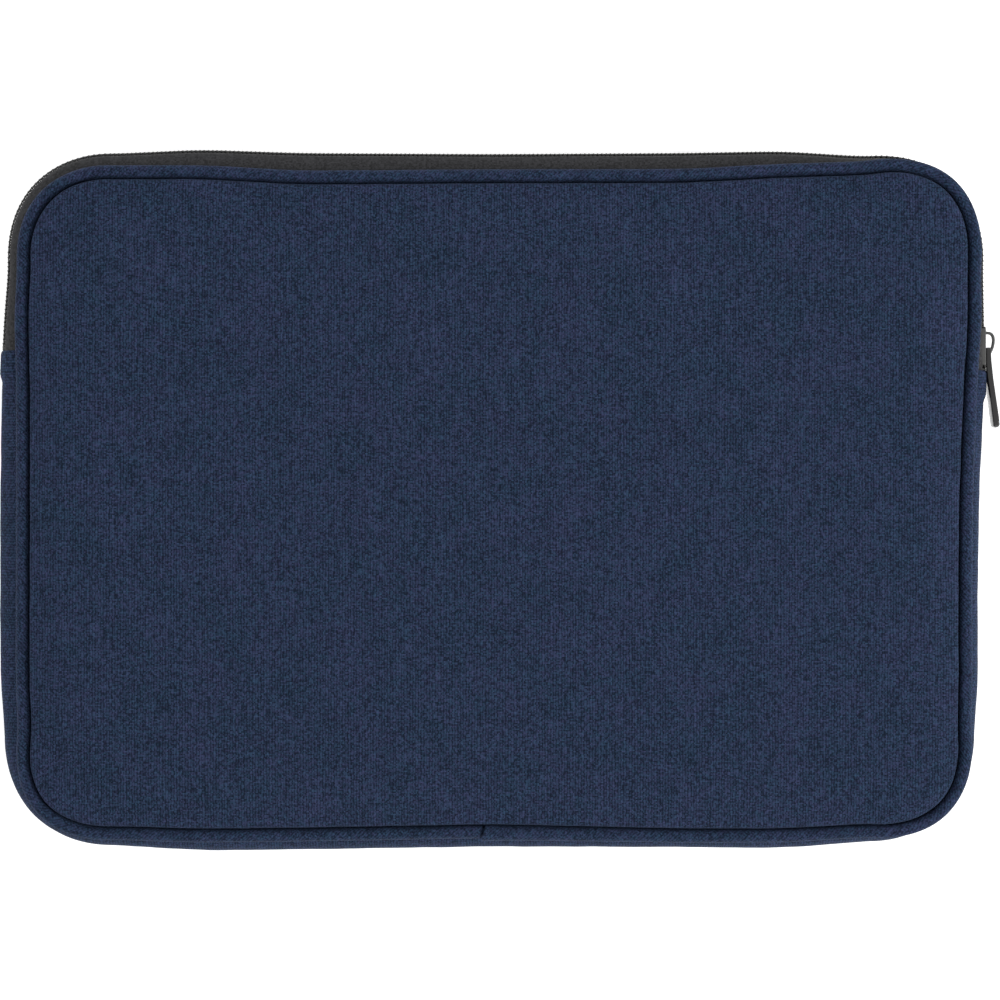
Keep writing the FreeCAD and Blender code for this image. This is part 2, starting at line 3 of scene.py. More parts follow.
import bmesh
import bpy
import numpy as np
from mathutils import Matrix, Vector
from mathutils.bvhtree import BVHTree


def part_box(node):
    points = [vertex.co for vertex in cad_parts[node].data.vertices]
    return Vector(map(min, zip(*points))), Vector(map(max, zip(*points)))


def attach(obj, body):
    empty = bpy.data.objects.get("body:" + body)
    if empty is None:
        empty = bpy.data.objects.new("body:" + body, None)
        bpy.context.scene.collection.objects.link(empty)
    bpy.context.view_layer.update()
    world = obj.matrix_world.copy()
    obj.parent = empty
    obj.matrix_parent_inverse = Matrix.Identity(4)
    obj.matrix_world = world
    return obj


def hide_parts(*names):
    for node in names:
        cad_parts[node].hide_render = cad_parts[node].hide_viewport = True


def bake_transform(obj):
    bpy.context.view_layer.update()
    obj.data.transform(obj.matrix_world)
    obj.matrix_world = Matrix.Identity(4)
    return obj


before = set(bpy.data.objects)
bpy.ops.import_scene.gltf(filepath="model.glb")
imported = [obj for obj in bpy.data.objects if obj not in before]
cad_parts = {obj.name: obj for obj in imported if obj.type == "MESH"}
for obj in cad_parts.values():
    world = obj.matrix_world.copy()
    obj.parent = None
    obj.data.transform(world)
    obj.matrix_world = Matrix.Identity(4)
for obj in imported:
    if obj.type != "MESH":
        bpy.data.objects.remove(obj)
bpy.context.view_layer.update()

# A zipped laptop sleeve lying flat on its back panel, seen from straight above.
# Lengths in this file are millimetres in the row frame until a mesh is made, then metres.
# "Reach" is how far a point stands outside the seam line, and "along" is the distance round that line
# from the middle of the bottom edge, counter-clockwise as seen from above.
MM = 0.001


def node_box(name):
    low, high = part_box(name)
    return np.array(low) / MM, np.array(high) / MM


# ---- sizes read from the frame
SEAM_X, SEAM_Y = node_box("back_panel_cover")[1][:2]
SEAM_CORNER = 31.0
cover_low, cover_high = node_box("front_panel_cover_lower")
SEAM_HEIGHT = cover_low[2]
THICKNESS = cover_high[2]
MIDDLE = THICKNESS / 2
LINING_TOP = node_box("front_lining_lower")[1][2]
SEAM_DEPTH = THICKNESS - SEAM_HEIGHT
FLANGE_EDGE = -6.0
BINDING_EDGE = -6.5
BELLY = node_box("gusset_cover")[1][0] - SEAM_X
BELLY_START = 2.7
PIPING_RADIUS = 2.4
PIPING_REACH = 2.65
PIPING_HEIGHT = 23.0
PIPING_SQUASH = 0.64
ZIP_END_LEFT = node_box("front_zip_tape_left")[0][1]
ZIP_END_RIGHT = node_box("front_zip_tape_right")[0][1]
TAPE_REACH = 9.0
COIL_REACH = BELLY

# ---- the seam line
FLAT_X = SEAM_X - SEAM_CORNER
FLAT_Y = SEAM_Y - SEAM_CORNER
CORNER_RUN = SEAM_CORNER * math.pi / 2
RUNS = (FLAT_X, CORNER_RUN, 2 * FLAT_Y, CORNER_RUN, 2 * FLAT_X, CORNER_RUN, 2 * FLAT_Y, CORNER_RUN, FLAT_X)
RUN_STARTS = np.concatenate([[0.0], np.cumsum(RUNS)])
SEAM_LENGTH = RUN_STARTS[-1]


def seam_place(along):
    """Return the point and the outward normal of the seam line at a distance along it."""
    along = along % SEAM_LENGTH
    run = min(int(np.searchsorted(RUN_STARTS, along, side="right")) - 1, len(RUNS) - 1)
    rest = along - RUN_STARTS[run]
    if run in (0, 8):
        return (rest if run == 0 else rest - FLAT_X, -SEAM_Y, 0.0, -1.0)
    if run == 2:
        return (SEAM_X, rest - FLAT_Y, 1.0, 0.0)
    if run == 4:
        return (FLAT_X - rest, SEAM_Y, 0.0, 1.0)
    if run == 6:
        return (-SEAM_X, FLAT_Y - rest, -1.0, 0.0)
    centre_x = FLAT_X if run in (1, 3) else -FLAT_X
    centre_y = FLAT_Y if run in (3, 5) else -FLAT_Y
    angle = (run - 2) * math.pi / 4 - math.pi / 4 + rest / SEAM_CORNER
    out_x = math.cos(angle)
    out_y = math.sin(angle)
    return (centre_x + SEAM_CORNER * out_x, centre_y + SEAM_CORNER * out_y, out_x, out_y)


STATION_SHARES = (0, 0.12, 0.25, 0.5, 0.75, 0.88, 1)


def stations():
    """List the places where the sewn outline is given: seven on each side, then the corner after it."""
    places = []
    for start, length in zip((-FLAT_X, *RUN_STARTS[2:8:2]), 2 * (2 * FLAT_X, 2 * FLAT_Y)):
        places += [start + length * share for share in STATION_SHARES]
        places.append(start + length + CORNER_RUN / 2)
    return np.array(places)


# How far the sewn outline strays from the even rounded rectangle, a row for each side:
# bottom from left to right, right side upwards, top from right to left, left side downwards.
FRONT_SEAM_SHIFT = (
    (1.1, 2.2, 1.8, 0.5, 2.1, 2.1, 0.1, 3.0),
    (-0.6, 0.1, -0.1, 0.2, 2.0, 3.6, 3.1, 6.5),
    (0.5, -0.5, -2.5, -2.6, -3.1, -1.0, -1.2, -0.5),
    (-2.7, -1.4, -2.1, -2.1, -2.0, -1.9, -3.1, 2.4),
)
BELLY_SHIFT = (
    (-1.6, 0.6, 0.2, -0.9, -0.7, -0.3, -3.0, -3.4),
    (-3.9, -2.0, -2.3, -1.7, 0.3, -0.2, -0.6, 0.9),
    (-2.9, -0.7, -1.4, -1.8, -1.4, -0.1, -1.7, -1.1),
    (-4.0, -2.1, -1.0, -0.3, -0.3, -0.4, -2.3, -0.9),
)
SHIFT_STEP = 1.0
SHIFT_SOFTNESS = 6.0


def shift_table(values):
    """Spread the station values along the whole seam and round their corners off."""
    places = stations()
    around = np.arange(0, SEAM_LENGTH, SHIFT_STEP)
    spread = np.interp(around, places, np.ravel(values), period=SEAM_LENGTH)
    half = int(3 * SHIFT_SOFTNESS / SHIFT_STEP)
    offsets = np.arange(-half, half + 1) * SHIFT_STEP
    weights = np.exp(-((offsets / SHIFT_SOFTNESS) ** 2) / 2)
    weights /= weights.sum()
    wrapped = np.concatenate([spread[-half:], spread, spread[:half]])
    return around, np.convolve(wrapped, weights, mode="valid")


FRONT_TABLE = shift_table(FRONT_SEAM_SHIFT)
BELLY_TABLE = shift_table(BELLY_SHIFT)


def seam_shift(along, back):
    """How far out the sewn front seam stands at a distance along it; the back seam is even."""
    if back:
        return np.zeros_like(along)
    return np.interp(along, *FRONT_TABLE, period=SEAM_LENGTH)


def belly_shift(along):
    return np.interp(along, *BELLY_TABLE, period=SEAM_LENGTH)


# ---- meshes
def quad_faces(rows, columns, closed=False):
    """List the quads between closed rows of points, and from the last row to the first if closed."""
    faces = []
    for row in range(rows if closed else rows - 1):
        near = row * columns
        far = (row + 1) % rows * columns
        for column in range(columns):
            after = (column + 1) % columns
            faces.append((near + column, far + column, far + after, near + after))
    return faces


def in_scene(name, data):
    """Make an object of a mesh, a lamp or a camera and put it in the scene."""
    obj = bpy.data.objects.new(name, data)
    bpy.context.scene.collection.objects.link(obj)
    return obj


def recalculate_normals(obj):
    work = bmesh.new()
    work.from_mesh(obj.data)
    bmesh.ops.recalc_face_normals(work, faces=work.faces)
    work.to_mesh(obj.data)
    work.free()


def make_object(name, points, faces, texture_points, material):
    """Make a smooth mesh object from points in millimetres, with a UV map in metres of cloth."""
    mesh = bpy.data.meshes.new(name)
    mesh.from_pydata([tuple(point) for point in np.asarray(points) * MM], [], faces)
    layer = mesh.uv_layers.new(name="cloth")
    loops = np.empty(len(mesh.loops), dtype=np.int64)
    mesh.loops.foreach_get("vertex_index", loops)
    flat = np.asarray(texture_points)[loops] * MM
    layer.data.foreach_set("uv", flat.astype(np.float32).ravel())
    mesh.polygons.foreach_set("use_smooth", [True] * len(mesh.polygons))
    mesh.materials.append(material)
    obj = in_scene(name, mesh)
    mesh.update()
    recalculate_normals(obj)
    return obj


def apply_modifiers(obj):
    """Turn an object's modifiers into plain mesh."""
    bpy.context.view_layer.objects.active = obj
    for modifier in list(obj.modifiers):
        bpy.ops.object.modifier_apply(modifier=modifier.name)


def joined(name, parts):
    """Join several meshes into one object with a new name."""
    bpy.ops.object.select_all(action="DESELECT")
    for part in parts:
        part.select_set(True)
    bpy.context.view_layer.objects.active = parts[0]
    bpy.ops.object.join()
    parts[0].name = name
    return parts[0]


seam_places = np.vectorize(seam_place, otypes=4 * [float])


def sweep_points(along, reach, height):
    """Place points at their distances along the seam, their reaches outside it and their heights."""
    x, y, out_x, out_y = seam_places(along)
    return np.stack([x + out_x * reach, y + out_y * reach, height], axis=-1)


def section_lengths(reach, height):
    """Measure each section's own length, point by point, for the UV map."""
    step = np.hypot(np.diff(reach, axis=1), np.diff(height, axis=1))
    return np.concatenate([np.zeros((len(reach), 1)), np.cumsum(step, axis=1)], axis=1)


def round_caps(rows, columns):
    """Close both ends of a tube."""
    return [tuple(range(columns)), tuple(range((rows - 1) * columns, rows * columns))]


def strip_caps(rows, columns):
    """Close both ends of a folded strip, whose section runs out along one face and back along the other."""
    faces = []
    for start in (0, (rows - 1) * columns):
        for step in range(columns // 2 - 1):
            near = (start + step, start + step + 1)
            far = (start + columns - 2 - step, start + columns - 1 - step)
            faces.append((*near, *far))
    return faces


def sweep(name, along, reach, height, material, closed=False, caps=None):
    """Make a strip or tube that follows the seam, with UVs of distance along and across the cloth.

    It has one distance along for each section, or for a slanting section one for each of its points.
    """
    rows, columns = reach.shape
    along = along.reshape(rows, -1)
    points = sweep_points(along, reach, height).reshape(-1, 3)
    texture = np.stack([along + np.zeros(reach.shape), section_lengths(reach, height)], axis=2)
    faces = quad_faces(rows, columns, closed)
    if caps is not None:
        faces += caps(rows, columns)
    return make_object(name, points, faces, texture.reshape(-1, 2), material)


def circle(radius, sides):
    turn = np.linspace(0, 2 * math.pi, sides, endpoint=False)
    return radius * np.stack([np.cos(turn), np.sin(turn)], axis=1)


def wire(name, centre, steady, section, material):
    """Sweep a section along a line of points; steady is the direction that its second axis keeps."""
    forward = np.gradient(centre, axis=0)
    forward /= np.linalg.norm(forward, axis=1)[:, None]
    side = np.cross(forward, steady)
    side /= np.linalg.norm(side, axis=1)[:, None]
    up = np.cross(side, forward)
    sections = np.broadcast_to(section, (len(centre), *np.shape(section)[-2:]))
    ring = sections[:, :, 0:1] * side[:, None] + sections[:, :, 1:2] * up[:, None]
    points = (centre[:, None] + ring).reshape(-1, 3)
    rows, columns = ring.shape[:2]
    faces = quad_faces(rows, columns) + round_caps(rows, columns)
    return make_object(name, points, faces, points[:, :2], material)


def smooth_line(points, steps):
    """Run a Catmull-Rom curve through given points."""
    points = np.array(points, dtype=float)
    padded = np.concatenate([2 * points[:1] - points[1:2], points, 2 * points[-1:] - points[-2:-1]])
    place = np.linspace(0, len(points) - 1, steps)
    index = np.minimum(place.astype(int), len(points) - 2)
    t = (place - index)[:, None]
    before, start, end, after = (padded[index + k] for k in range(4))
    return 0.5 * (
        2 * start
        + (end - before) * t
        + (2 * before - 5 * start + 4 * end - after) * t**2
        + (3 * start - before - 3 * end + after) * t**3
    )


SEAM_ROUND_STEPS = 320


def seam_ring(name, corners, back, material):
    """Sweep one section of (reach, height) corners all the way round the seam."""
    along = np.linspace(0, SEAM_LENGTH, SEAM_ROUND_STEPS, endpoint=False)
    corners = np.array(corners, dtype=float)
    reach = corners[None, :, 0] + seam_shift(along, back)[:, None]
    height = on_side(np.repeat(corners[None, :, 1], len(along), axis=0), back)
    return sweep(name, along, reach, height, material, closed=True)


def on_side(height, back):
    """A height on the front half, or its mirror image on the back half."""
    return THICKNESS - height if back else height


# The three waves of a ripple: how many times faster than the first, turn for each seed, and size.
RIPPLE_WAVES = ((1.0, 1.7, 1.0), (1.618, 2.3 * 1.7, 0.7), (2.414, 4.1 * 1.7, 0.5))
RIPPLE_PEAK = 2.2


def ripple(along, waves, seed):
    """A smooth uneven wave round the seam, between about -1 and 1."""
    angle = 2 * math.pi * along / SEAM_LENGTH
    total = 0.0
    for faster, turn, size in RIPPLE_WAVES:
        total += size * np.sin(round(waves * faster) * angle + turn * seed)
    return total / RIPPLE_PEAK


def tidy(obj, body, nodes):
    """Hide the CAD nodes that a finished piece stands for; a piece of the front has its placing baked into
    its mesh, any other is parented to the empty of the body it rides on.
    """
    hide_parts(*nodes)
    if body == "front":
        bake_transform(obj)
    else:
        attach(obj, body)


def tidy_half(obj, back, node):
    """Tidy a piece of the back onto the shell, or one of the front that the fold cuts into two CAD nodes.
    """
    if back:
        tidy(obj, "shell", (f"back_{node}",))
    else:
        tidy(obj, "front", (f"front_{node}_lower", f"front_{node}_upper"))


# ---- materials
class Graph:
    """A short way to wire the shader nodes of a material or the sky."""

    def __init__(self, owner, shader="Principled BSDF"):
        if isinstance(owner, str):
            owner = bpy.data.materials.new(owner)
        owner.use_nodes = True
        self.material = owner
        self.tree = owner.node_tree
        self.shader = self.tree.nodes[shader]

    def link(self, source, target):
        self.tree.links.new(source, target)

    def give(self, sockets, values):
        """Give each socket its value: a number, a colour or vector, or a link from another node."""
        for key, value in values.items():
            socket = sockets[key]
            if isinstance(value, (int, float)):
                socket.default_value = value
            elif isinstance(value, tuple):
                socket.default_value = (*value, 1.0) if socket.type == "RGBA" else value
            else:
                self.link(value, socket)

    def node(self, kind, values, **settings):
        """Add a node with its settings and what its sockets are given."""
        node = self.tree.nodes.new(kind)
        for key, value in settings.items():
            setattr(node, key, value)
        self.give(node.inputs, values)
        return node

    def math(self, operation, first, second=0.0, third=0.0):
        values = {0: first, 1: second, 2: third}
        return self.node("ShaderNodeMath", values, operation=operation).outputs[0]

    def times(self, first, second):
        return self.math("MULTIPLY", first, second)

    def wave(self, value, turns):
        """A sine wave that makes so many turns in each millimetre."""
        return self.math("SINE", self.times(value, 2 * math.pi * turns))

    def cell(self, value, pitch):
        """The number of the thread that a place falls in."""
        return self.math("FLOOR", self.math("DIVIDE", value, pitch))

    def vector(self, x, y, z=0.0):
        return self.node("ShaderNodeCombineXYZ", {0: x, 1: y, 2: z}).outputs[0]

    def either(self, share, first, second):
        """The first value where share is 1 and the second where it is 0."""
        rest = self.times(self.math("SUBTRACT", 1.0, share), second)
        return self.math("ADD", self.times(share, first), rest)

    def total(self, start, *terms):
        """Add terms of (value, its middle, weight) to a starting value."""
        for value, middle, weight in terms:
            start = self.math("MULTIPLY_ADD", self.math("SUBTRACT", value, middle), weight, start)
        return start

    def noise(self, vector, scale, detail=2.0, roughness=0.5):
        values = {"Vector": vector, "Scale": scale, "Detail": detail, "Roughness": roughness}
        return self.node("ShaderNodeTexNoise", values).outputs["Fac"]

    def white(self, x, y, z=0.0):
        values = {"Vector": self.vector(x, y, z)}
        return self.node("ShaderNodeTexWhiteNoise", values, noise_dimensions="3D").outputs["Value"]

    def clamp(self, value):
        return self.math("MINIMUM", self.math("MAXIMUM", value, 0.0), 1.0)

    def mix(self, factor, first, second):
        return self.node("ShaderNodeMix", {0: factor, 6: first, 7: second}, data_type="RGBA").outputs[2]

    def place(self):
        """The place on the object itself, for pieces that are not cloth."""
        return self.node("ShaderNodeTexCoord", {}).outputs["Object"]

    def cloth(self, turn=0.0):
        """Cloth coordinates in millimetres, turned by an angle in degrees for cloth cut on the bias."""
        source = self.node("ShaderNodeUVMap", {}, uv_map="cloth").outputs[0]
        rotation = (0.0, 0.0, math.radians(turn))
        values = {"Vector": source, "Scale": (1 / MM, 1 / MM, 1.0), "Rotation": rotation}
        mapping = self.node("ShaderNodeMapping", values)
        split = self.node("ShaderNodeSeparateXYZ", {0: mapping.outputs[0]})
        return split.outputs[0], split.outputs[1]

    def mottled(self, tone, dark, light):
        """Colour the surface between a dark and a light shade."""
        self.give(self.shader.inputs, {"Base Color": self.mix(tone, dark, light)})

    def bump(self, height, distance, strength=1.0):
        values = {"Height": height, "Distance": distance * MM, "Strength": strength}
        self.give(self.shader.inputs, {"Normal": self.node("ShaderNodeBump", values).outputs[0]})

    def finish(self, roughness, specular, **sheen):
        """Set how rough and how shiny the surface is, and its sheen where it has one."""
        values = {"Roughness": roughness, "Specular IOR Level": specular}
        values.update({f"Sheen {key}": value for key, value in sheen.items()})
        self.give(self.shader.inputs, values)


WARP_PITCH = 1.04
WEFT_PITCH = 0.52
YARN_ROUNDNESS = 0.6


def woven(graph, turn):
    """Plain weave.

    Returns the place on the cloth, the thread numbers, whether a warp is on top, and the height.
    """
    x, y = graph.cloth(turn)
    warp = graph.math("DIVIDE", x, WARP_PITCH)
    weft = graph.math("DIVIDE", y, WEFT_PITCH)
    warp_index = graph.math("FLOOR", warp)
    weft_index = graph.math("FLOOR", weft)
    together = graph.math("ADD", warp_index, weft_index)
    checker = graph.math("MODULO", graph.math("ABSOLUTE", together), 2.0)
    across_warp = graph.math("SINE", graph.times(graph.math("FRACT", warp), math.pi))
    across_weft = graph.math("SINE", graph.times(graph.math("FRACT", weft), math.pi))
    warp_height = graph.times(graph.math("POWER", across_warp, YARN_ROUNDNESS), across_weft)
    weft_height = graph.times(graph.math("POWER", across_weft, YARN_ROUNDNESS), across_warp)
    top = graph.math("GREATER_THAN", checker, 0.5)
    return x, y, warp_index, weft_index, top, graph.either(top, warp_height, weft_height)


def canvas(name, turn=0.0):
    """Heathered navy canvas: thick warps over fine wefts, dark and lighter blue fibres spun together, with
    painted shade between the yarns.
    """
    graph = Graph(name)
    x, y, warp_index, weft_index, top, height = woven(graph, turn)
    warp_fibre = graph.noise(graph.vector(warp_index, graph.times(y, 0.5)), 1.0, 3.0, 0.65)
    weft_fibre = graph.noise(graph.vector(graph.times(x, 0.6), weft_index, 7.0), 1.0, 3.0, 0.65)
    fibre = graph.either(top, warp_fibre, weft_fibre)
    speck = graph.white(warp_index, weft_index, 3.0)
    tint = graph.white(warp_index, weft_index, 8.0)
    ply = graph.cell(x, WARP_PITCH / 2)
    grain = graph.white(ply, weft_index, 11.0)
    fleck = graph.noise(graph.vector(x, y, 9.0), 2.7, 2.0, 0.7)
    mottle = graph.noise(graph.vector(x, y, 4.0), 0.6, 2.0, 0.6)
    slub = graph.noise(graph.vector(graph.times(x, 2.2), graph.times(y, 0.07), 6.0), 1.0)
    blotch = graph.noise(graph.vector(x, y, 2.0), 0.05, 3.0, 0.6)
    cloud = graph.noise(graph.vector(x, y, 5.0), 0.3, 3.0, 0.6)
    # Painted shade: rib paints each warp lighter along its middle and darker where it meets the next, and
    # the height term paints the low places of the weave darker.
    rib = graph.math("PINGPONG", graph.math("DIVIDE", x, WARP_PITCH), 0.5)
    tone = graph.total(
        0.36,
        (fibre, 0.5, 0.4),
        (speck, 0.5, 0.35),
        (grain, 0.5, 0.7),
        (fleck, 0.5, 0.8),
        (mottle, 0.5, 0.25),
        (slub, 0.5, 0.75),
        (rib, 0.25, 0.6),
        (height, 0.45, 0.15),
        (blotch, 0.5, 0.25),
    )
    hue = graph.clamp(graph.total(0.5, (cloud, 0.5, 1.0), (blotch, 0.5, 1.4), (tint, 0.5, 0.9)))
    dark = graph.mix(hue, (0.0016, 0.0058, 0.0145), (0.0031, 0.0048, 0.0145))
    light = graph.mix(hue, (0.0208, 0.0450, 0.0880), (0.0302, 0.0386, 0.0910))
    graph.mottled(graph.clamp(tone), dark, light)
    graph.finish(0.88, 0.12, Weight=0.05, Roughness=0.5, Tint=(0.45, 0.6, 1.0))
    graph.bump(height, 0.07, 0.6)
    return graph.material


def ribbed_tape(name, dark, light, pitch=0.62):
    """Twill woven tape: fine diagonal ribs with uneven yarns."""
    graph = Graph(name)
    x, y = graph.cloth()
    rib = graph.wave(graph.math("ADD", x, y), 1 / pitch)
    cross = graph.wave(graph.math("SUBTRACT", x, y), 1 / pitch)
    height = graph.math("MULTIPLY_ADD", rib, 0.3, graph.math("MULTIPLY_ADD", cross, 0.2, 0.5))
    speck = graph.white(graph.cell(x, pitch), graph.cell(y, pitch))
    fibre = graph.noise(graph.vector(x, graph.times(y, 3.0)), 1.1, 3.0, 0.65)
    # Painted shade: the rib height is also painted into the colour, darker in the grooves between the ribs.
    tone = graph.total(0.5, (height, 0.5, 0.5), (fibre, 0.5, 1.9), (speck, 0.5, 0.6))
    graph.mottled(graph.clamp(tone), dark, light)
    graph.finish(0.8, 0.15, Weight=0.05, Roughness=0.45)
    graph.bump(height, 0.08, 0.7)
    return graph.material


def brushed_lining(name):
    """Black brushed lining with a soft, cloudy nap."""
    graph = Graph(name)
    x, y = graph.cloth()
    nap = graph.noise(graph.vector(x, y), 1.6, 4.0, 0.65)
    cloud = graph.noise(graph.vector(x, y, 4.0), 0.05, 2.0, 0.5)
    tone = graph.math("MULTIPLY_ADD", nap, 0.7, graph.times(cloud, 0.4))
    graph.mottled(tone, (0.008, 0.008, 0.009), (0.026, 0.026, 0.028))
    graph.finish(0.95, 0.15, Weight=0.35, Roughness=0.6)
    graph.bump(nap, 0.2, 0.6)
    return graph.material


def foam_material(name):
    """Grey foam with open cells."""
    graph = Graph(name)
    values = {"Vector": graph.place(), "Scale": 900.0}
    cells = graph.node("ShaderNodeTexVoronoi", values).outputs["Distance"]
    # Painted shade: the hollows of the cells are painted darker, from the same field as the bump.
    graph.mottled(cells, (0.05, 0.05, 0.052), (0.16, 0.16, 0.165))
    graph.finish(0.95, 0.1)
    graph.bump(cells, 0.3, 0.6)
    return graph.material


def cord_material(name):
    """Raw cotton cord with a slanting twist."""
    graph = Graph(name)
    x, y = graph.cloth()
    twist = graph.math("SINE", graph.times(graph.math("MULTIPLY_ADD", y, 0.6, x), 3.0))
    tone = graph.math("MULTIPLY_ADD", twist, 0.5, 0.5)
    # Painted shade: the grooves of the twist are painted darker, from the same wave as the bump.
    graph.mottled(tone, (0.22, 0.21, 0.19), (0.45, 0.43, 0.40))
    graph.finish(0.9, 0.2)
    graph.bump(tone, 0.25)
    return graph.material


def moulded_nylon(name):
    """Dark nylon filament: smooth, slightly glossy, with a faint grain."""
    graph = Graph(name)
    grain = graph.noise(graph.place(), 1500.0, 2.0, 0.5)
    graph.mottled(grain, (0.016, 0.016, 0.016), (0.030, 0.030, 0.030))
    graph.finish(graph.math("MULTIPLY_ADD", grain, 0.15, 0.3), 0.4)
    graph.bump(grain, 0.02, 0.5)
    return graph.material


def enamel(name, dark, light, roughness):
    """Black enamelled zinc: an even lacquer with a faint orange peel, worn lighter in patches."""
    graph = Graph(name)
    peel = graph.noise(graph.place(), 900.0, 2.0, 0.5)
    wear = graph.noise(graph.place(), 260.0, 4.0, 0.6)
    graph.mottled(wear, dark, light)
    graph.finish(graph.math("MULTIPLY_ADD", wear, 0.16, roughness - 0.08), 0.5)
    graph.bump(peel, 0.02, 0.35)
    return graph.material


CANVAS = canvas("navy_canvas")
CANVAS_BIAS = canvas("navy_canvas_bias", 45.0)
TAPE = ribbed_tape("zip_tape", (0.008, 0.008, 0.0085), (0.038, 0.0385, 0.0420))
BINDING = ribbed_tape("binding_tape", (0.005, 0.005, 0.0055), (0.02, 0.02, 0.021), 0.8)
LINING = brushed_lining("lining")
FOAM = foam_material("foam")
CORD = cord_material("filler_cord")
NYLON = moulded_nylon("zip_nylon")
THREAD = enamel("sewing_thread", (0.032, 0.032, 0.032), (0.068, 0.068, 0.066), 0.7)
METAL = enamel("dark_metal", (0.034, 0.034, 0.0335), (0.055, 0.055, 0.0545), 0.45)
GLOSS = enamel("dark_gloss", (0.009, 0.009, 0.0095), (0.014, 0.014, 0.0145), 0.16)

# ---- panels
ACROSS_COUNT = 143
UP_COUNT = 97
COVER_CLOTH = 0.45
# The cover's section, from the seam allowance under the foam, up the wall and over the tight rolled rim.
RIM_SECTION = (
    (-6.0, 0.02),
    (-3.0, 0.02),
    (-0.6, 0.02),
    (-0.1, 0.25),
    (-0.1, 1.0),
    (-0.25, 1.9),
    (-0.42, 2.8),
    (-0.5, 3.5),
    (-0.62, 4.05),
    (-0.95, 4.55),
    (-1.5, 4.9),
    (-2.4, 5.15),
    (-3.8, 5.3),
    (-6.2, 5.38),
    (-10.0, 5.4),
    (-15.0, 5.4),
    (-21.0, 5.4),
)
RIM_WAVINESS = 0.12
RIM_WAVES = (47, 4)
PINNED_RINGS = 12
FACE_LIFT = 5.4
CROWN = 2.1
# A lifted layer's face is what stands above this share of its height.
FACE_SHARE = 0.6
RAY_START = 0.1
# Every layer of a panel has rings at these reaches, close enough to bend smoothly over the fold.
FOLD_RINGS = (-6.2, -8.0, -10.0, -12.0, -13.5, -15.0, -17.0, -19.0, -21.0)


def panel_loop():
    """Distances along the seam that put a grid's corners in the middle of the round corners."""
    half_corner = CORNER_RUN / 2
    start = -(FLAT_X + half_corner)
    across = 2 * FLAT_X + CORNER_RUN
    up = 2 * FLAT_Y + CORNER_RUN
    places = []
    for length, count in 2 * ((across, ACROSS_COUNT), (up, UP_COUNT)):
        places += list(start + length * np.arange(count) / count)
        start += length
    return np.array(places)


def ring_sides(ring):
    """Cut a closed ring of panel_loop points into a grid's bottom, right, top and left sides."""
    around = np.concatenate([ring, ring[:1]])
    half = ACROSS_COUNT + UP_COUNT
    bottom = around[: ACROSS_COUNT + 1]
    right = around[ACROSS_COUNT : half + 1]
    top = around[half : half + ACROSS_COUNT + 1][::-1]
    return bottom, right, top, around[half + ACROSS_COUNT :][::-1]


def fill_grid(ring):
    """Fill a closed ring of panel_loop points with a smooth grid; returns the points inside the ring."""
    bottom, right, top, left = ring_sides(ring)
    u = np.linspace(0, 1, ACROSS_COUNT + 1)[:, None, None]
    v = np.linspace(0, 1, UP_COUNT + 1)[None, :, None]
    sides = (1 - v) * bottom[:, None] + v * top[:, None] + (1 - u) * left[None] + u * right[None]
    low_corners = (1 - u) * (1 - v) * bottom[0] + u * (1 - v) * bottom[-1]
    high_corners = (1 - u) * v * top[0] + u * v * top[-1]
    return (sides - (low_corners + high_corners))[1:-1, 1:-1].reshape(-1, 3)


def grid_faces(ring_start, inner_start):
    """The quads of a grid that has a ring for its border and is filled with the points of fill_grid."""
    number = np.empty((ACROSS_COUNT + 1, UP_COUNT + 1), dtype=int)
    inner = number[1:-1, 1:-1]
    inner[:] = inner_start + np.arange(inner.size).reshape(inner.shape)
    ring = ring_start + np.arange(2 * (ACROSS_COUNT + UP_COUNT))
    number[:, 0], number[-1], number[:, -1], number[0] = ring_sides(ring)
    corners = (number[:-1, :-1], number[1:, :-1], number[1:, 1:], number[:-1, 1:])
    return np.stack(corners, axis=2).reshape(-1, 4).tolist()


def with_fold_rings(section):
    """Add the fold's rings where a section runs inward, on the straight lines between its points."""
    finer = [section[0]]
    for (reach, height), (next_reach, next_height) in zip(section, section[1:]):
        for extra in FOLD_RINGS:
            if next_reach < extra < reach:
                share = (reach - extra) / (reach - next_reach)
                finer.append((extra, height + share * (next_height - height)))
        finer.append((next_reach, next_height))
    return finer


def unrolled_reach(section):
    """Where each point of a rim's section would lie if its cloth were rolled out flat from the face."""
    steps = [math.dist(first, second) for first, second in zip(section, section[1:])]
    return [section[-1][0] + sum(steps[index:]) for index in range(len(section))]


def panel_mesh(name, section, back, base, material, lift=None, closed=True):
    """A panel of rim rings and a filled face, with base as its lowest height; the back is turned over."""
    section = with_fold_rings(section)
    along = panel_loop()
    count = len(along)
    moved = seam_shift(along, back)
    rings = []
    cloth = []
    for (reach, height), unrolled in zip(section, unrolled_reach(section)):
        uneven = RIM_WAVINESS * ripple(along, *RIM_WAVES) * (height > 1.0)
        level = np.full(count, float(height))
        rings.append(sweep_points(along, moved + reach + uneven, level))
        cloth.append(sweep_points(along, moved + unrolled, level))
    inner = fill_grid(rings[-1])
    points = np.concatenate(rings + [inner])
    texture = np.concatenate(cloth + [inner])
    faces = quad_faces(len(rings), count)
    faces += grid_faces((len(rings) - 1) * count, len(rings) * count)
    if closed:
        under = fill_grid(rings[0])
        faces += [face[::-1] for face in grid_faces(0, len(points))]
        points = np.concatenate([points, under])
        texture = np.concatenate([texture, under])
    if lift is not None:
        raised = points[:, 2] > FACE_SHARE * max(height for reach, height in section)
        points[raised, 2] += lift(points[raised, 0], points[raised, 1])
    points[:, 2] = on_side(points[:, 2] + base, back)
    return make_object(name, points, faces, texture[:, :2], material)


def mesh_points(obj):
    points = np.empty(3 * len(obj.data.vertices), dtype=np.float32)
    obj.data.vertices.foreach_get("co", points)
    return points.reshape(-1, 3) / MM


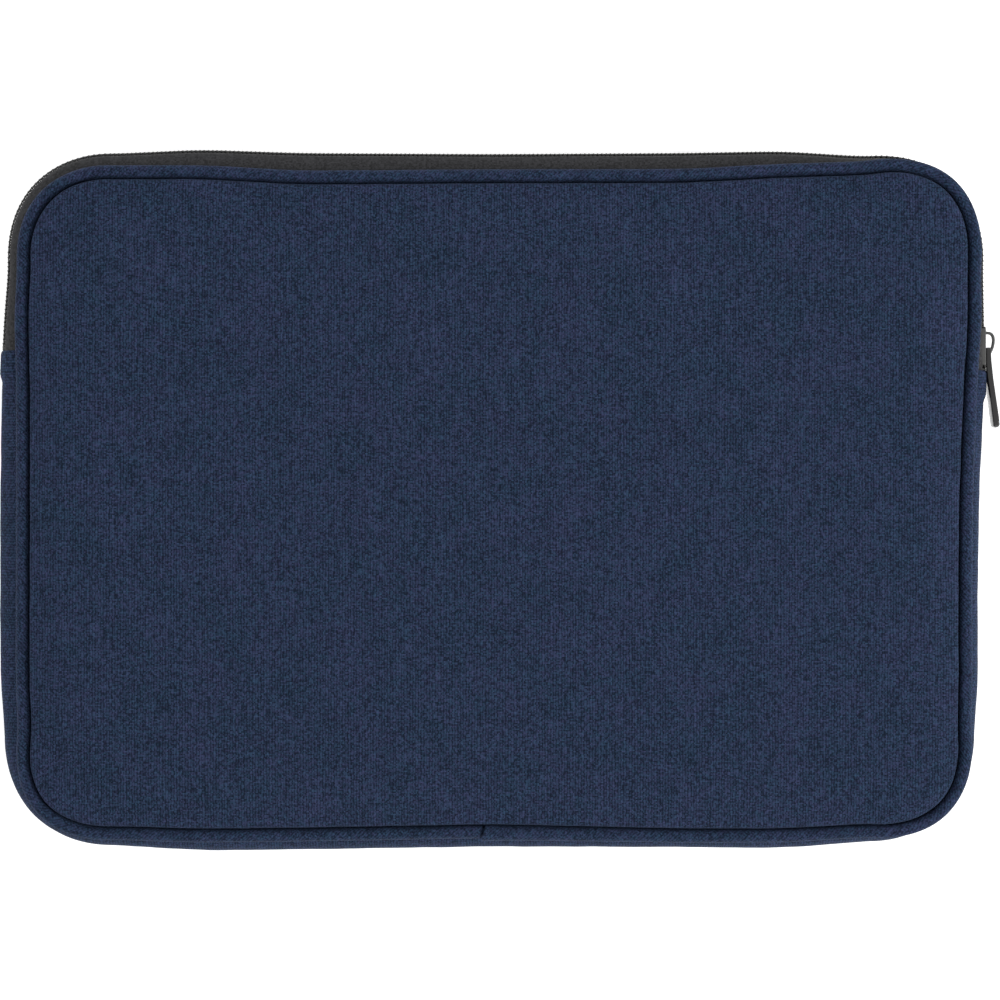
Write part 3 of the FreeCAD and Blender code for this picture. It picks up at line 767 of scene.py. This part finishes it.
CLOTH_SETTINGS = {
    "vertex_group_mass": "rim",
    "quality": 5,
    "mass": 0.1,
    "tension_stiffness": 60,
    "compression_stiffness": 60,
    "shear_stiffness": 20,
    "bending_stiffness": 2,
    "use_pressure": True,
    "uniform_pressure_force": 60,
    "shrink_min": -0.006,
}
CLOTH_FRAMES = 20


def blow_up(obj, pinned):
    """Let pressure lift a cover that is pinned round its rim, as its padding does, and return the lift."""
    start = mesh_points(obj)
    group = obj.vertex_groups.new(name="rim")
    group.add(range(pinned), 1.0, "REPLACE")
    cloth = obj.modifiers.new("padding", "CLOTH")
    for key, value in CLOTH_SETTINGS.items():
        setattr(cloth.settings, key, value)
    cloth.settings.effector_weights.gravity = 0
    cloth.collision_settings.use_collision = False
    scene = bpy.context.scene
    scene.frame_start = 1
    scene.frame_end = CLOTH_FRAMES
    for frame_number in range(1, CLOTH_FRAMES + 1):
        scene.frame_set(frame_number)
    apply_modifiers(obj)
    scene.frame_set(1)
    obj.vertex_groups.clear()
    return start, mesh_points(obj) - start


def pad_out(obj, pinned):
    """Give a cover its padded crown: simulated lift, eased off below the most that the foam allows."""
    points, moved = blow_up(obj, pinned)
    lift = CROWN * np.tanh(moved[:, 2] / CROWN)
    points[:, 2] += lift
    obj.data.vertices.foreach_set("co", (points * MM).astype(np.float32).ravel())
    obj.data.update()


def thicken(obj, thickness):
    """Give a sheet its cloth thickness, on the side away from its outer face."""
    solid = obj.modifiers.new("cloth_thickness", "SOLIDIFY")
    solid.thickness = thickness * MM
    solid.offset = -1
    apply_modifiers(obj)


def panel_cover(name, section, back):
    """A padded cover: a sheet rolled over the foam, and crowned by the cloth simulation if it faces up."""
    cover = panel_mesh(name, section, back, SEAM_HEIGHT, CANVAS, closed=False)
    if not back:
        pad_out(cover, PINNED_RINGS * len(panel_loop()))
    return cover


def face_lift_of(cover):
    """Return a function that gives how far a cover's face stands above its flat height."""
    depsgraph = bpy.context.evaluated_depsgraph_get()
    tree = BVHTree.FromObject(cover, depsgraph)
    flat = SEAM_HEIGHT + FACE_LIFT

    def lift(x, y):
        values = np.zeros(len(x))
        for index, (px, py) in enumerate(zip(x, y)):
            hit = tree.ray_cast(Vector((px * MM, py * MM, RAY_START)), Vector((0, 0, -1)))[0]
            if hit is not None:
                values[index] = hit.z / MM - flat
        return values

    return lift


FOAM_SECTION = (
    (-1.3, 0.0),
    (-1.35, 2.0),
    (-1.6, 3.0),
    (-2.4, 3.9),
    (-4.5, 4.15),
    (-9.0, 4.3),
    (-21.0, 4.3),
)
LINING_CLOTH = 0.45
LINING_EDGE = BINDING_EDGE - 0.1
LINING_SECTION = ((LINING_EDGE, 0.0), (LINING_EDGE, LINING_CLOTH), (-24.0, LINING_CLOTH))
BACK_FOAM_DEPTH = SEAM_DEPTH - (LINING_TOP - SEAM_HEIGHT) - COVER_CLOTH - 0.1


def no_higher(section, top):
    return [(reach, min(height, top)) for reach, height in section]


def build_panel(names, back):
    """Build a panel's cover, the foam under it and its lining; the back lies flat on the table."""
    cover_name, foam_name, lining_name = names
    rim = no_higher(RIM_SECTION, SEAM_DEPTH) if back else RIM_SECTION
    pad = no_higher(FOAM_SECTION, BACK_FOAM_DEPTH) if back else FOAM_SECTION
    cover = panel_cover(cover_name, rim, back)
    lift = None if back else face_lift_of(cover)
    foam = panel_mesh(foam_name, pad, back, LINING_TOP, FOAM, lift)
    thicken(cover, COVER_CLOTH)
    tidy_half(cover, back, "panel_cover")
    tidy_half(foam, back, "foam")
    lining = panel_mesh(lining_name, LINING_SECTION, back, SEAM_HEIGHT, LINING)
    tidy_half(lining, back, "lining")


# ---- piping
PIPING_JOINT = -3.0
PIPING_LAP = 5.0
PIPING_LAP_SWELL = 0.6
PIPING_SWELL_LENGTH = 40.0
PIPING_LAP_SINK = 1.0
CORD_END_GAP = 2.5
PIPING_LAP_SLANT = 0.25
PIPING_SIDES = 26
PIPING_UNEVEN = 0.06
PIPING_WAVES = 29
PIPING_STEPS = 620
PIPING_LAP_STEPS = 30
PIPING_LEAN_LENGTH = 9.0
FILLER_GAP = 0.6
FILLER_STEPS = 300
# The folded start of the piping: places along the seam, and how far each is drawn in.
PIPING_HEM = (1.1, 0.5, 0.12, 0.0, 0.12)
PIPING_HEM_DROP = (1.0, 0.9, 0.5, 0.22, 0.04)


def piping_section(radius):
    """A cord's round section, squashed underneath where it sits on the seam."""
    turn = np.linspace(0, 2 * math.pi, PIPING_SIDES, endpoint=False)
    rise = np.sin(turn)
    rise = np.where(rise < 0, PIPING_SQUASH * rise, rise)
    return radius[:, None] * np.cos(turn)[None, :], radius[:, None] * rise[None, :]


def piping_tube(name, back):
    """The covered cord in the seam: its end is folded under and laps over its start on the bottom edge."""
    end = PIPING_JOINT + SEAM_LENGTH
    hem = PIPING_JOINT + np.array(PIPING_HEM)
    body = np.linspace(PIPING_JOINT + 0.5, end - 3, PIPING_STEPS)
    lapped = np.linspace(end - 2.8, end + PIPING_LAP, PIPING_LAP_STEPS)
    along = np.concatenate([hem, body, lapped])
    start = np.clip(along - PIPING_JOINT, 0, None)
    to_end = end - along
    swelling = PIPING_LAP_SWELL * np.exp(-start / PIPING_SWELL_LENGTH)
    seed = 2 if back else 1
    radius = PIPING_RADIUS + swelling + PIPING_UNEVEN * ripple(along, PIPING_WAVES, seed)
    radius[: len(hem)] -= PIPING_HEM_DROP
    radius -= PIPING_LAP_SINK * ease(0.5 - (to_end - 0.6) / 1.6)
    across, rise = piping_section(radius)
    lean = np.exp(-start / PIPING_LEAN_LENGTH) + np.exp(-np.abs(to_end) / PIPING_LEAN_LENGTH)
    slant = lean[:, None] * np.clip(across, -3, 3) * -PIPING_LAP_SLANT
    reach = PIPING_REACH + across + (seam_shift(along, back) + 0.7 * swelling)[:, None]
    height = on_side(PIPING_HEIGHT + rise, back)
    return sweep(name, along[:, None] + slant, reach, height, CANVAS_BIAS, caps=round_caps)


def inner_cord(name, back):
    """The filler cord inside the piping, whose cut ends stop short of the lapped joint."""
    end = PIPING_JOINT + SEAM_LENGTH
    along = np.linspace(PIPING_JOINT + CORD_END_GAP, end - CORD_END_GAP, FILLER_STEPS)
    across, rise = piping_section(np.full(len(along), PIPING_RADIUS - FILLER_GAP))
    reach = PIPING_REACH + across + seam_shift(along, back)[:, None]
    return sweep(name, along, reach, on_side(PIPING_HEIGHT + rise, back), CORD, caps=round_caps)


# The flat edge of the piping cover that is sewn in, and the tape folded over the seam's raw edges.
FLANGE_SECTION = (
    (FLANGE_EDGE, 21.42),
    (1.4, 21.42),
    (2.0, 21.8),
    (0.0, 21.88),
    (FLANGE_EDGE, 21.88),
)
BINDING_SECTION = (
    (BINDING_EDGE, 21.4),
    (BINDING_EDGE + 0.1, 21.9),
    (-2.0, 21.95),
    (-2.0, 21.9),
    (FLANGE_EDGE, 21.85),
    (FLANGE_EDGE, 20.45),
    (-2.2, 20.38),
    (-2.1, 19.95),
    (-5.9, 19.85),
    (BINDING_EDGE, 20.2),
)


def build_seam(names, back):
    """Build what is sewn round a panel: the piping with its flange, its filler cord and the binding."""
    piping_name, cord_name, binding_name = names
    tube = piping_tube(piping_name, back)
    flange = seam_ring("flange", FLANGE_SECTION, back, CANVAS_BIAS)
    tidy_half(joined(piping_name, [tube, flange]), back, "piping_cover")
    tidy_half(inner_cord(cord_name, back), back, "piping_cord")
    binding = seam_ring(binding_name, BINDING_SECTION, back, BINDING)
    tidy_half(binding, back, "seam_binding")


# ---- gusset
def along_at(side, y):
    """The distance along the seam at height y on the right (side 1) or left (side -1) straight."""
    if side > 0:
        return RUN_STARTS[2] + FLAT_Y + y
    return RUN_STARTS[6] + FLAT_Y - y


GUSSET_HEM = 8.5
GUSSET_HEM_EASE = 3.5
GUSSET_PROUD_LEFT = 0.9
GUSSET_PROUD_RIGHT = 0.95
GUSSET_PINCH = 1.4
GUSSET_CREASES = ((0.08, 31, 3), (0.04, 67, 5))
GUSSET_SECTION_STEPS = 23
GUSSET_LINING_EDGE = -1.9
GUSSET_END_LIP = 0.55
# How far inside the gusset's outer face each of its layers starts and ends.
GUSSET_COVER = (0.0, 1.0)
GUSSET_FOAM = (1.05, 2.85)
GUSSET_LINING = (2.9, 3.35)
GUSSET_COVER_STEPS = 620
GUSSET_INNER_STEPS = 240


def gusset_distances(count):
    """Distances from the left zip end round the bottom to the right zip end."""
    start = along_at(-1, ZIP_END_LEFT) - SEAM_LENGTH
    end = along_at(1, ZIP_END_RIGHT)
    return np.linspace(start, end, count)


def ease(value):
    """A smooth step from 0 to 1."""
    value = np.clip(value, 0, 1)
    return value * value * (3 - 2 * value)


def gusset_ends(along):
    """How far the gusset's folded ends stand proud of the zip tape, and how much they fill out."""
    from_left = 1 - ease((along - along[0] - GUSSET_HEM) / GUSSET_HEM_EASE)
    from_right = 1 - ease((along[-1] - along - GUSSET_HEM) / GUSSET_HEM_EASE)
    lip = np.clip(GUSSET_END_LIP + np.minimum(along - along[0], along[-1] - along), 0, 1)
    hem = lip * (GUSSET_PROUD_LEFT * from_left + GUSSET_PROUD_RIGHT * from_right)
    return hem, GUSSET_PINCH - (GUSSET_PINCH - 1) * (from_left + from_right)


def gusset_face(along, inset, hem, pinch):
    """Section points of the bulging side strip, inset inside its outer face, front flange first."""
    angle = np.linspace(math.pi / 2, -math.pi / 2, GUSSET_SECTION_STEPS)
    radius = BELLY - BELLY_START - inset
    rise = np.sin(angle)[None, :]
    side = np.cos(angle)[None, :]
    front = seam_shift(along, False)[:, None]
    belly = belly_shift(along)[:, None]
    crease = sum(size * ripple(along, waves, seed)[:, None] for size, waves, seed in GUSSET_CREASES)
    pinched = side.clip(0) ** pinch[:, None]
    reach = BELLY_START + (radius + hem[:, None]) * pinched + front * np.where(rise > 0, rise**2, 0)
    reach = reach + belly * side**2 + crease * side
    height = np.broadcast_to(MIDDLE + radius * rise, reach.shape)
    flange = np.full_like(front, FLANGE_EDGE)
    reach = np.concatenate([flange + front, reach, flange], axis=1)
    height = np.concatenate([height[:, :1], height, height[:, -1:]], axis=1)
    return reach, height


def gusset_layer(name, outer, inner, material, steps, hemmed=False, edge=FLANGE_EDGE):
    """A layer of the gusset between two insets, closed at both ends."""
    along = gusset_distances(steps)
    hem, pinch = gusset_ends(along)
    hem = hem if hemmed else np.zeros_like(along)
    outer_reach, outer_height = gusset_face(along, outer, hem, pinch)
    inner_reach, inner_height = gusset_face(along, inner, hem, pinch)
    for reach in (outer_reach, inner_reach):
        reach[:, (0, -1)] += edge - FLANGE_EDGE
    reach = np.concatenate([outer_reach, inner_reach[:, ::-1]], axis=1)
    height = np.concatenate([outer_height, inner_height[:, ::-1]], axis=1)
    return sweep(name, along, reach, height, material, caps=strip_caps)


def build_gusset():
    cover = gusset_layer("gusset_canvas", *GUSSET_COVER, CANVAS, GUSSET_COVER_STEPS, hemmed=True)
    tidy(cover, "shell", ("gusset_cover",))
    inner = {"steps": GUSSET_INNER_STEPS, "edge": GUSSET_LINING_EDGE}
    foam = gusset_layer("gusset_padding", *GUSSET_FOAM, FOAM, **inner)
    tidy(foam, "shell", ("gusset_foam",))
    lining = gusset_layer("gusset_inner_lining", *GUSSET_LINING, LINING, **inner)
    tidy(lining, "shell", ("gusset_lining",))


# ---- zip
ZIP_TUCK = 6.0
COIL_PITCH = 1.6
COIL_WIRE = 0.31
COIL_HEEL = node_box("front_zip_coil_top")[1][2] - COIL_WIRE
COIL_HEAD = MIDDLE - 0.05
COIL_OUTER = COIL_REACH - COIL_WIRE
COIL_INNER = TAPE_REACH + COIL_WIRE + 0.03
CORD_HALF_HEIGHT = 0.5
CORD_HALF_DEPTH = 0.22
COIL_START_GAP = 1.1
COIL_END_GAP = 0.4
# The heads stand apart behind the slider and close over this length inside it.
COIL_PARTING = 0.85
COIL_CLOSING = 6.0
COIL_CLOSED_BELOW_TOP = 7.0
ZIP_STEPS = 420
STITCH_DEPTHS = (0.45, 1.45)
STITCH_THREAD = 0.14
STITCH_POINTS = 6
STITCH_START = COIL_OUTER - 0.2
STITCH_REACH = COIL_WIRE + 0.28
STITCH_WOBBLE = 0.12
STITCH_STAGGER = 0.05
# One turn of the coil: share of the pitch, of the way out from the tape, and of the way to the head.
COIL_TURN = (
    (0.00, 1.00, 0.00),
    (0.05, 1.00, 0.35),
    (0.10, 1.00, 0.72),
    (0.13, 0.80, 0.94),
    (0.16, 0.50, 1.00),
    (0.19, 0.20, 0.94),
    (0.22, 0.00, 0.72),
    (0.27, 0.00, 0.35),
    (0.36, 0.00, 0.06),
    (0.52, 0.22, -0.02),
    (0.70, 0.60, -0.03),
    (0.87, 0.92, -0.02),
)
SLIDER_TOP = node_box("slider_body")[1][1]


def coil_turns():
    """Where the coil starts beside the slider, its number of turns, and the pitch that fits them in."""
    start = along_at(1, ZIP_END_RIGHT + COIL_START_GAP)
    length = along_at(-1, ZIP_END_LEFT + COIL_END_GAP) - start
    turns = round(length / COIL_PITCH)
    return start, turns, length / (turns + 0.5)


# The tape's outer face from the seam to the middle, tucked flat under the gusset and bowed out elsewhere.
TAPE_TUCKED = (
    (FLANGE_EDGE, 21.4),
    (BELLY_START, 21.4),
    (4.2, 20.6),
    (5.6, 19.9),
    (6.8, 19.2),
    (7.6, 18.5),
    (8.0, 18.0),
    (8.4, 17.6),
    (8.6, 17.2),
    (8.8, 15.7),
    (9.0, 14.1),
)
TAPE_BOWED = (
    (FLANGE_EDGE, 21.4),
    (BELLY_START, 21.4),
    (4.7, 20.9),
    (6.6, 20.2),
    (8.2, 19.3),
    (9.1, 18.55),
    (9.4, 18.0),
    (9.3, 17.6),
    (9.0, 17.3),
    (9.0, 15.7),
    (9.0, 14.1),
)
TAPE_CLOTH = 0.55


def inner_face(outer, thickness):
    """Offset an open line of (reach, height) points to its inner side, in reverse order."""
    line = np.array(outer)
    forward = np.gradient(line, axis=0)
    forward /= np.linalg.norm(forward, axis=1)[:, None]
    inward = np.stack([forward[:, 1], -forward[:, 0]], axis=1)
    return (line + thickness * inward)[::-1]


def zip_tape(name, back=False):
    """One half of the woven tape: it leaves the seam, bows out past the piping and turns in to the coil.

    Its ends are tucked under the ends of the gusset.
    """
    start = along_at(1, ZIP_END_RIGHT - ZIP_TUCK)
    end = along_at(-1, ZIP_END_LEFT - ZIP_TUCK)
    along = np.linspace(start, end, ZIP_STEPS)
    tucked = np.concatenate([TAPE_TUCKED, inner_face(TAPE_TUCKED, TAPE_CLOTH)])
    bowed = np.concatenate([TAPE_BOWED, inner_face(TAPE_BOWED, TAPE_CLOTH)])
    from_end = np.minimum(along - along[0], along[-1] - along)
    bow = ease((from_end - 2) / (ZIP_TUCK - 2))[:, None, None]
    section = (1 - bow) * tucked + bow * bowed
    seam_share = np.clip((TAPE_REACH - section[:, :, 0]) / (TAPE_REACH - BELLY_START), 0, 1)
    at_seam = seam_shift(along, back)[:, None] * seam_share
    reach = section[:, :, 0] + at_seam + belly_shift(along)[:, None] * (1 - seam_share)
    return sweep(name, along, reach, on_side(section[:, :, 1], back), TAPE, caps=strip_caps)


def along_seam(along, reach, height):
    """Points and seam directions for a line that winds along the seam."""
    out_x, out_y = seam_places(along)[2:]
    direction = np.stack([-out_y, out_x, np.zeros(len(along))], axis=1)
    return sweep_points(along, reach, height), direction


def outward_of(direction):
    """Level directions that point out from the seam, where the given ones run along it."""
    return np.stack([direction[:, 1], -direction[:, 0], direction[:, 2]], axis=1)


def coil(name, back=False):
    """One half of the nylon coil: filament bent into turns whose heads lock with the other half's."""
    start, turns, pitch = coil_turns()
    shape = np.array(COIL_TURN)
    advance = (np.arange(turns)[:, None] + shape[None, :, 0]).ravel() * pitch
    along = start + advance + (pitch / 2 if back else 0.0)
    out = np.tile(shape[:, 1], turns)
    to_head = np.tile(shape[:, 2], turns)
    distance_up = along - along_at(1, SLIDER_TOP - COIL_CLOSED_BELOW_TOP)
    head = COIL_HEAD + COIL_PARTING * (1 - ease(distance_up / COIL_CLOSING + 1))
    reach = COIL_INNER + out * (COIL_OUTER - COIL_INNER) + belly_shift(along)
    height = on_side(COIL_HEEL + to_head * (head - COIL_HEEL), back)
    points, direction = along_seam(along, reach, height)
    return wire(name, points, direction, circle(COIL_WIRE, 6), NYLON)


def coil_cord(back):
    """The sewn cord that runs along the coil's outer edge and holds its turns."""
    start, turns, pitch = coil_turns()
    along = np.linspace(start, start + turns * pitch, ZIP_STEPS)
    reach = COIL_REACH - CORD_HALF_DEPTH + belly_shift(along)
    height = np.full_like(along, on_side(COIL_HEEL - CORD_HALF_HEIGHT, back))
    points, direction = along_seam(along, reach, height)
    section = circle(1.0, 12) * np.array([CORD_HALF_HEIGHT, CORD_HALF_DEPTH])
    return wire("cord", points, outward_of(direction), section, THREAD)


def coil_stitch(depth, back):
    """A row of lock stitches that holds the coil to the tape: over each turn, then down between two."""
    start, turns, pitch = coil_turns()
    share = np.arange(turns * STITCH_POINTS) / STITCH_POINTS
    along = start + (share + depth * STITCH_STAGGER) * pitch + (pitch / 2 if back else 0.0)
    over = 0.5 + 0.5 * np.cos(2 * math.pi * share)
    reach = STITCH_START + over * STITCH_REACH + belly_shift(along)
    height = on_side(COIL_HEEL - depth + STITCH_WOBBLE * np.sin(2 * math.pi * share), back)
    points, direction = along_seam(along, reach, height)
    return wire("stitch", points, outward_of(direction), circle(STITCH_THREAD, 5), THREAD)


def zip_half(name, back):
    """The coil, the cord along it and the two rows of stitches that fix it to the tape."""
    parts = [coil(name, back), coil_cord(back)]
    return joined(name, parts + [coil_stitch(depth, back) for depth in STITCH_DEPTHS])


def build_zip():
    sides = ("left", "right", "top")
    tape = zip_tape("front_zip_tape")
    tidy(tape, "front", [f"front_zip_tape_{side}" for side in sides])
    teeth = zip_half("front_zip_coil", False)
    tidy(teeth, "front", [f"front_zip_coil_{side}" for side in sides])
    tape = zip_tape("rear_zip_tape_woven", back=True)
    tidy(tape, "shell", ("rear_zip_tape",))
    teeth = zip_half("rear_zip_coil_turns", True)
    tidy(teeth, "shell", ("rear_zip_coil",))


# ---- slider, pull and stops
SHARP_ANGLE = math.radians(20)


def block(name, outline, low, high, bevel, material=None):
    """A casting whose outline is given in (y, height above the middle), from reach low to reach high."""
    work = bmesh.new()
    start = SEAM_X + low
    bottom = [work.verts.new((start * MM, y * MM, (MIDDLE + z) * MM)) for y, z in outline]
    grown = bmesh.ops.extrude_face_region(work, geom=[work.faces.new(bottom)])
    top = [item for item in grown["geom"] if isinstance(item, bmesh.types.BMVert)]
    bmesh.ops.translate(work, verts=top, vec=((high - low) * MM, 0, 0))
    bmesh.ops.recalc_face_normals(work, faces=work.faces)
    edges = [edge for edge in work.edges if edge.calc_face_angle(0) > SHARP_ANGLE]
    offset = bevel * MM
    bmesh.ops.bevel(work, geom=edges, offset=offset, segments=3, profile=0.5, affect="EDGES")
    mesh = bpy.data.meshes.new(name)
    work.to_mesh(mesh)
    work.free()
    mesh.materials.append(material or METAL)
    mesh.polygons.foreach_set("use_smooth", [True] * len(mesh.polygons))
    return in_scene(name, mesh)


def rounded_outline(low_y, high_y, low_z, high_z, corner, steps=5):
    """A rectangle with round corners, as points."""
    points = []
    corners = (
        (high_y - corner, high_z - corner, 0),
        (low_y + corner, high_z - corner, 1),
        (low_y + corner, low_z + corner, 2),
        (high_y - corner, low_z + corner, 3),
    )
    for centre_y, centre_z, quarter in corners:
        for step in range(steps + 1):
            angle = math.pi / 2 * (quarter + step / steps)
            y = centre_y + corner * math.cos(angle)
            points.append((y, centre_z + corner * math.sin(angle)))
    return points


slider_low, slider_high = node_box("slider_body")
SLIDER_HALF = (slider_high[2] - slider_low[2]) / 2
SLIDER_BOTTOM = slider_low[1]
OUTER_PLATE = (10.28, 10.98)
INNER_PLATE = (7.1, 7.8)
SLIT = (8.0, 8.68)
FLANGE = 0.68
BRIDGE_LINE = (
    (10.7, 62.5),
    (12.0, 62.4),
    (13.3, 62.1),
    (14.1, 61.0),
    (14.3, 59.5),
    (14.1, 57.9),
    (13.8, 56.8),
    (13.3, 55.6),
    (12.6, 54.5),
    (11.7, 53.7),
    (10.7, 53.2),
)
BRIDGE_SECTION = (0.5, 1.1, 0.3)


def rounded_section(half_side, half_up, corner):
    return np.array(rounded_outline(-half_side, half_side, -half_up, half_up, corner, 3))


def in_place(line):
    """Turn (reach, y) points on the middle plane into row-frame points, with the way up at each."""
    points = np.stack([SEAM_X + line[:, 0], line[:, 1], np.full(len(line), MIDDLE)], axis=1)
    return points, np.tile((0.0, 0.0, 1.0), (len(line), 1))


def build_slider():
    """The cast slider: two plates with side flanges that guide the coils, a divider and a bridge."""
    half = SLIDER_HALF
    low, high = SLIDER_BOTTOM, SLIDER_TOP
    plate = rounded_outline(low + 0.1, high - 0.3, -half + 0.02, half - 0.02, 1.5)
    parts = [block("slider", plate, *OUTER_PLATE, 0.22), block("inner_plate", plate, *INNER_PLATE, 0.2)]
    for side in (-1, 1):
        near, far = sorted((side * (half - 0.03), side * (half - FLANGE)))
        edge = rounded_outline(low + 0.9, high - 1.0, near, far, 0.3)
        parts.append(block("outer_flange", edge, SLIT[1], OUTER_PLATE[1] - 0.2, 0.1))
        parts.append(block("inner_flange", edge, INNER_PLATE[0] + 0.2, SLIT[0] - 0.12, 0.1))
    post = rounded_outline(low + 0.3, low + 3.0, -0.42, 0.42, 0.4)
    parts.append(block("divider", post, INNER_PLATE[1] - 0.1, OUTER_PLATE[0] + 0.1, 0.05))
    line, up = in_place(smooth_line(BRIDGE_LINE, 48))
    parts.append(wire("bridge", line, up, rounded_section(*BRIDGE_SECTION), METAL))
    tidy(joined("slider_casting", parts), "slider", ("slider_body",))


PULL_LINE = (
    (12.15, 57.0),
    (12.12, 55.0),
    (12.15, 51.0),
    (12.6, 46.0),
    (13.3, 41.0),
    (13.9, 36.6),
    (14.5, 32.1),
    (14.9, 28.9),
    (15.15, 26.9),
)
PULL_HALF_WIDTH = 4.0
PULL_CORNER = 2.4
PULL_EDGE = 0.45
PULL_TIP = 1.2
PULL_HEAD_CORNER = 1.5
PULL_STEPS = 160
WINDOW = (48.2, 55.7, -1.65, 1.65, 0.8)
WINDOW_CUT = (8.0, 18.0, 0.01)
PULL_BEVEL = 0.14


def round_end(distance, radius):
    """A quarter circle from 0 at the very end to 1 at a radius from it."""
    return np.sqrt(1 - np.clip(1 - distance / radius, 0, 1) ** 2)


def pull_leaf():
    """The leaf pull: a thin head that swells into a bowed leaf with a round tip."""
    line = smooth_line(PULL_LINE, PULL_STEPS)
    from_top = np.hypot(*(line - line[0]).T)
    from_tip = np.hypot(*(line - line[-1]).T)
    thickness = 1.0 + 0.1 * ease((from_top - 3) / 5) + 0.1 * ease((from_top - 14) / 14)
    thickness *= 0.1 + 0.9 * round_end(from_top, PULL_EDGE) * round_end(from_tip, PULL_TIP)
    short = np.clip(PULL_CORNER - from_tip, 0, PULL_CORNER)
    width = PULL_HALF_WIDTH - PULL_CORNER + np.sqrt(PULL_CORNER**2 - short**2)
    corner = PULL_HEAD_CORNER
    head_short = np.clip(corner - from_top, 0, corner)
    head = PULL_HALF_WIDTH - 1.0 - corner + np.sqrt(corner**2 - head_short**2)
    width = np.minimum(width, head + ease(from_top / 9))
    sizes = [(half, wide, min(PULL_EDGE, 0.95 * half)) for half, wide in zip(thickness, width)]
    sections = np.array([rounded_section(*size) for size in sizes])
    return wire("pull_leaf", *in_place(line), sections, GLOSS)


def build_pull():
    """The pull, with a window in its head for the bridge and softened edges."""
    leaf = pull_leaf()
    window = block("window", rounded_outline(*WINDOW), *WINDOW_CUT, GLOSS)
    cut = leaf.modifiers.new("window", "BOOLEAN")
    cut.operation = "DIFFERENCE"
    cut.solver = "EXACT"
    cut.object = window
    apply_modifiers(leaf)
    bpy.data.objects.remove(window)
    soften = leaf.modifiers.new("edges", "BEVEL")
    soften.width = PULL_BEVEL * MM
    soften.segments = 2
    soften.limit_method = "ANGLE"
    soften.angle_limit = math.radians(50)
    apply_modifiers(leaf)
    tidy(leaf, "pull", ("pull_tab",))


def stop_clip(name, node, side):
    """A metal stop clamped over the end of the coil, set in or out with it."""
    low, high = node_box(node)
    moved = float(belly_shift(along_at(side, (low[1] + high[1]) / 2)))
    outline = rounded_outline(low[1] + 0.05, high[1] - 0.05, low[2] - MIDDLE, high[2] - MIDDLE, 0.45)
    clip = block(name, outline, TAPE_REACH - 0.15 + moved, COIL_REACH + moved, 0.25)
    if side < 0:
        for vertex in clip.data.vertices:
            vertex.co.x *= -1
        clip.data.flip_normals()
    tidy(clip, "shell", (node,))


def build_stops():
    stop_clip("right_stop_front", "zip_top_stop_front", 1)
    stop_clip("right_stop_rear", "zip_top_stop_rear", 1)
    stop_clip("left_stop", "zip_bottom_stop", -1)


# ---- stage
CAMERA_HEIGHT = 1200.0
PICTURE_WIDTH = 375.0
SENSOR = 36.0
VIEW_X = 3.2
VIEW_Y = -0.2
SKY_HORIZON = 1.1
SKY_ZENITH = 0.9
FLOOR_GLOW = 0.35
FLOOR_HALF = 6.0
FLOOR_DROP = 0.0002


def build_world():
    """A soft sky that is brighter towards the horizon than overhead, as in a light tent."""
    world = bpy.data.worlds.new("studio")
    graph = Graph(world, "Background")
    direction = graph.node("ShaderNodeTexCoord", {}).outputs["Generated"]
    up = graph.node("ShaderNodeSeparateXYZ", {0: direction}).outputs[2]
    values = {"Value": up, "To Min": SKY_HORIZON, "To Max": SKY_ZENITH}
    strength = graph.node("ShaderNodeMapRange", values).outputs[0]
    graph.give(graph.shader.inputs, {"Color": (1.0, 1.0, 1.0), "Strength": strength})
    bpy.context.scene.world = world


def build_lights():
    """Large soft lamps: the main one low on the right and towards the viewer, a weak one on the left."""
    lamps = (
        ("main_right", (1.6, -0.45, 0.95), 1.1, 30.0),
        ("fill_left", (-1.6, 0.5, 1.0), 1.2, 8.0),
    )
    for name, place, size, power in lamps:
        data = bpy.data.lights.new(name, "AREA")
        data.shape = "SQUARE"
        data.size = size
        data.energy = power
        lamp = in_scene(name, data)
        lamp.location = place
        lamp.rotation_mode = "QUATERNION"
        lamp.rotation_quaternion = (-Vector(place)).to_track_quat("-Z", "Y")


def build_floor():
    """A pale light table, lit a little from below so that the object casts hardly any shadow."""
    half = FLOOR_HALF
    mesh = bpy.data.meshes.new("floor")
    corners = [(-half, -half, 0), (half, -half, 0), (half, half, 0), (-half, half, 0)]
    mesh.from_pydata(corners, [], [(0, 1, 2, 3)])
    graph = Graph("pale_floor")
    glow = {"Emission Color": (1.0, 1.0, 1.0), "Emission Strength": FLOOR_GLOW}
    graph.give(graph.shader.inputs, {"Base Color": (0.95, 0.95, 0.95), **glow})
    graph.finish(0.9, 0.1)
    mesh.materials.append(graph.material)
    floor = in_scene("floor", mesh)
    floor.location.z = -FLOOR_DROP


def build_camera():
    """The photograph's camera: straight above, with the picture as wide as it is there."""
    data = bpy.data.cameras.new("camera")
    data.sensor_width = SENSOR
    data.lens = SENSOR * CAMERA_HEIGHT / PICTURE_WIDTH
    camera = in_scene("camera", data)
    camera.location = (VIEW_X * MM, VIEW_Y * MM, (MIDDLE + CAMERA_HEIGHT) * MM)
    bpy.context.scene.camera = camera
    bpy.context.scene.view_settings.view_transform = "Standard"


build_camera()
build_floor()
build_world()
build_lights()
build_panel(("front_panel_cover", "front_foam", "front_lining"), back=False)
build_panel(("back_panel_canvas", "back_foam_pad", "back_lining_cloth"), back=True)
build_seam(("front_piping_cover", "front_piping_cord", "front_seam_binding"), back=False)
build_seam(("back_piping_canvas", "back_piping_filler", "back_seam_tape"), back=True)
build_gusset()
build_zip()
build_slider()
build_pull()
build_stops()
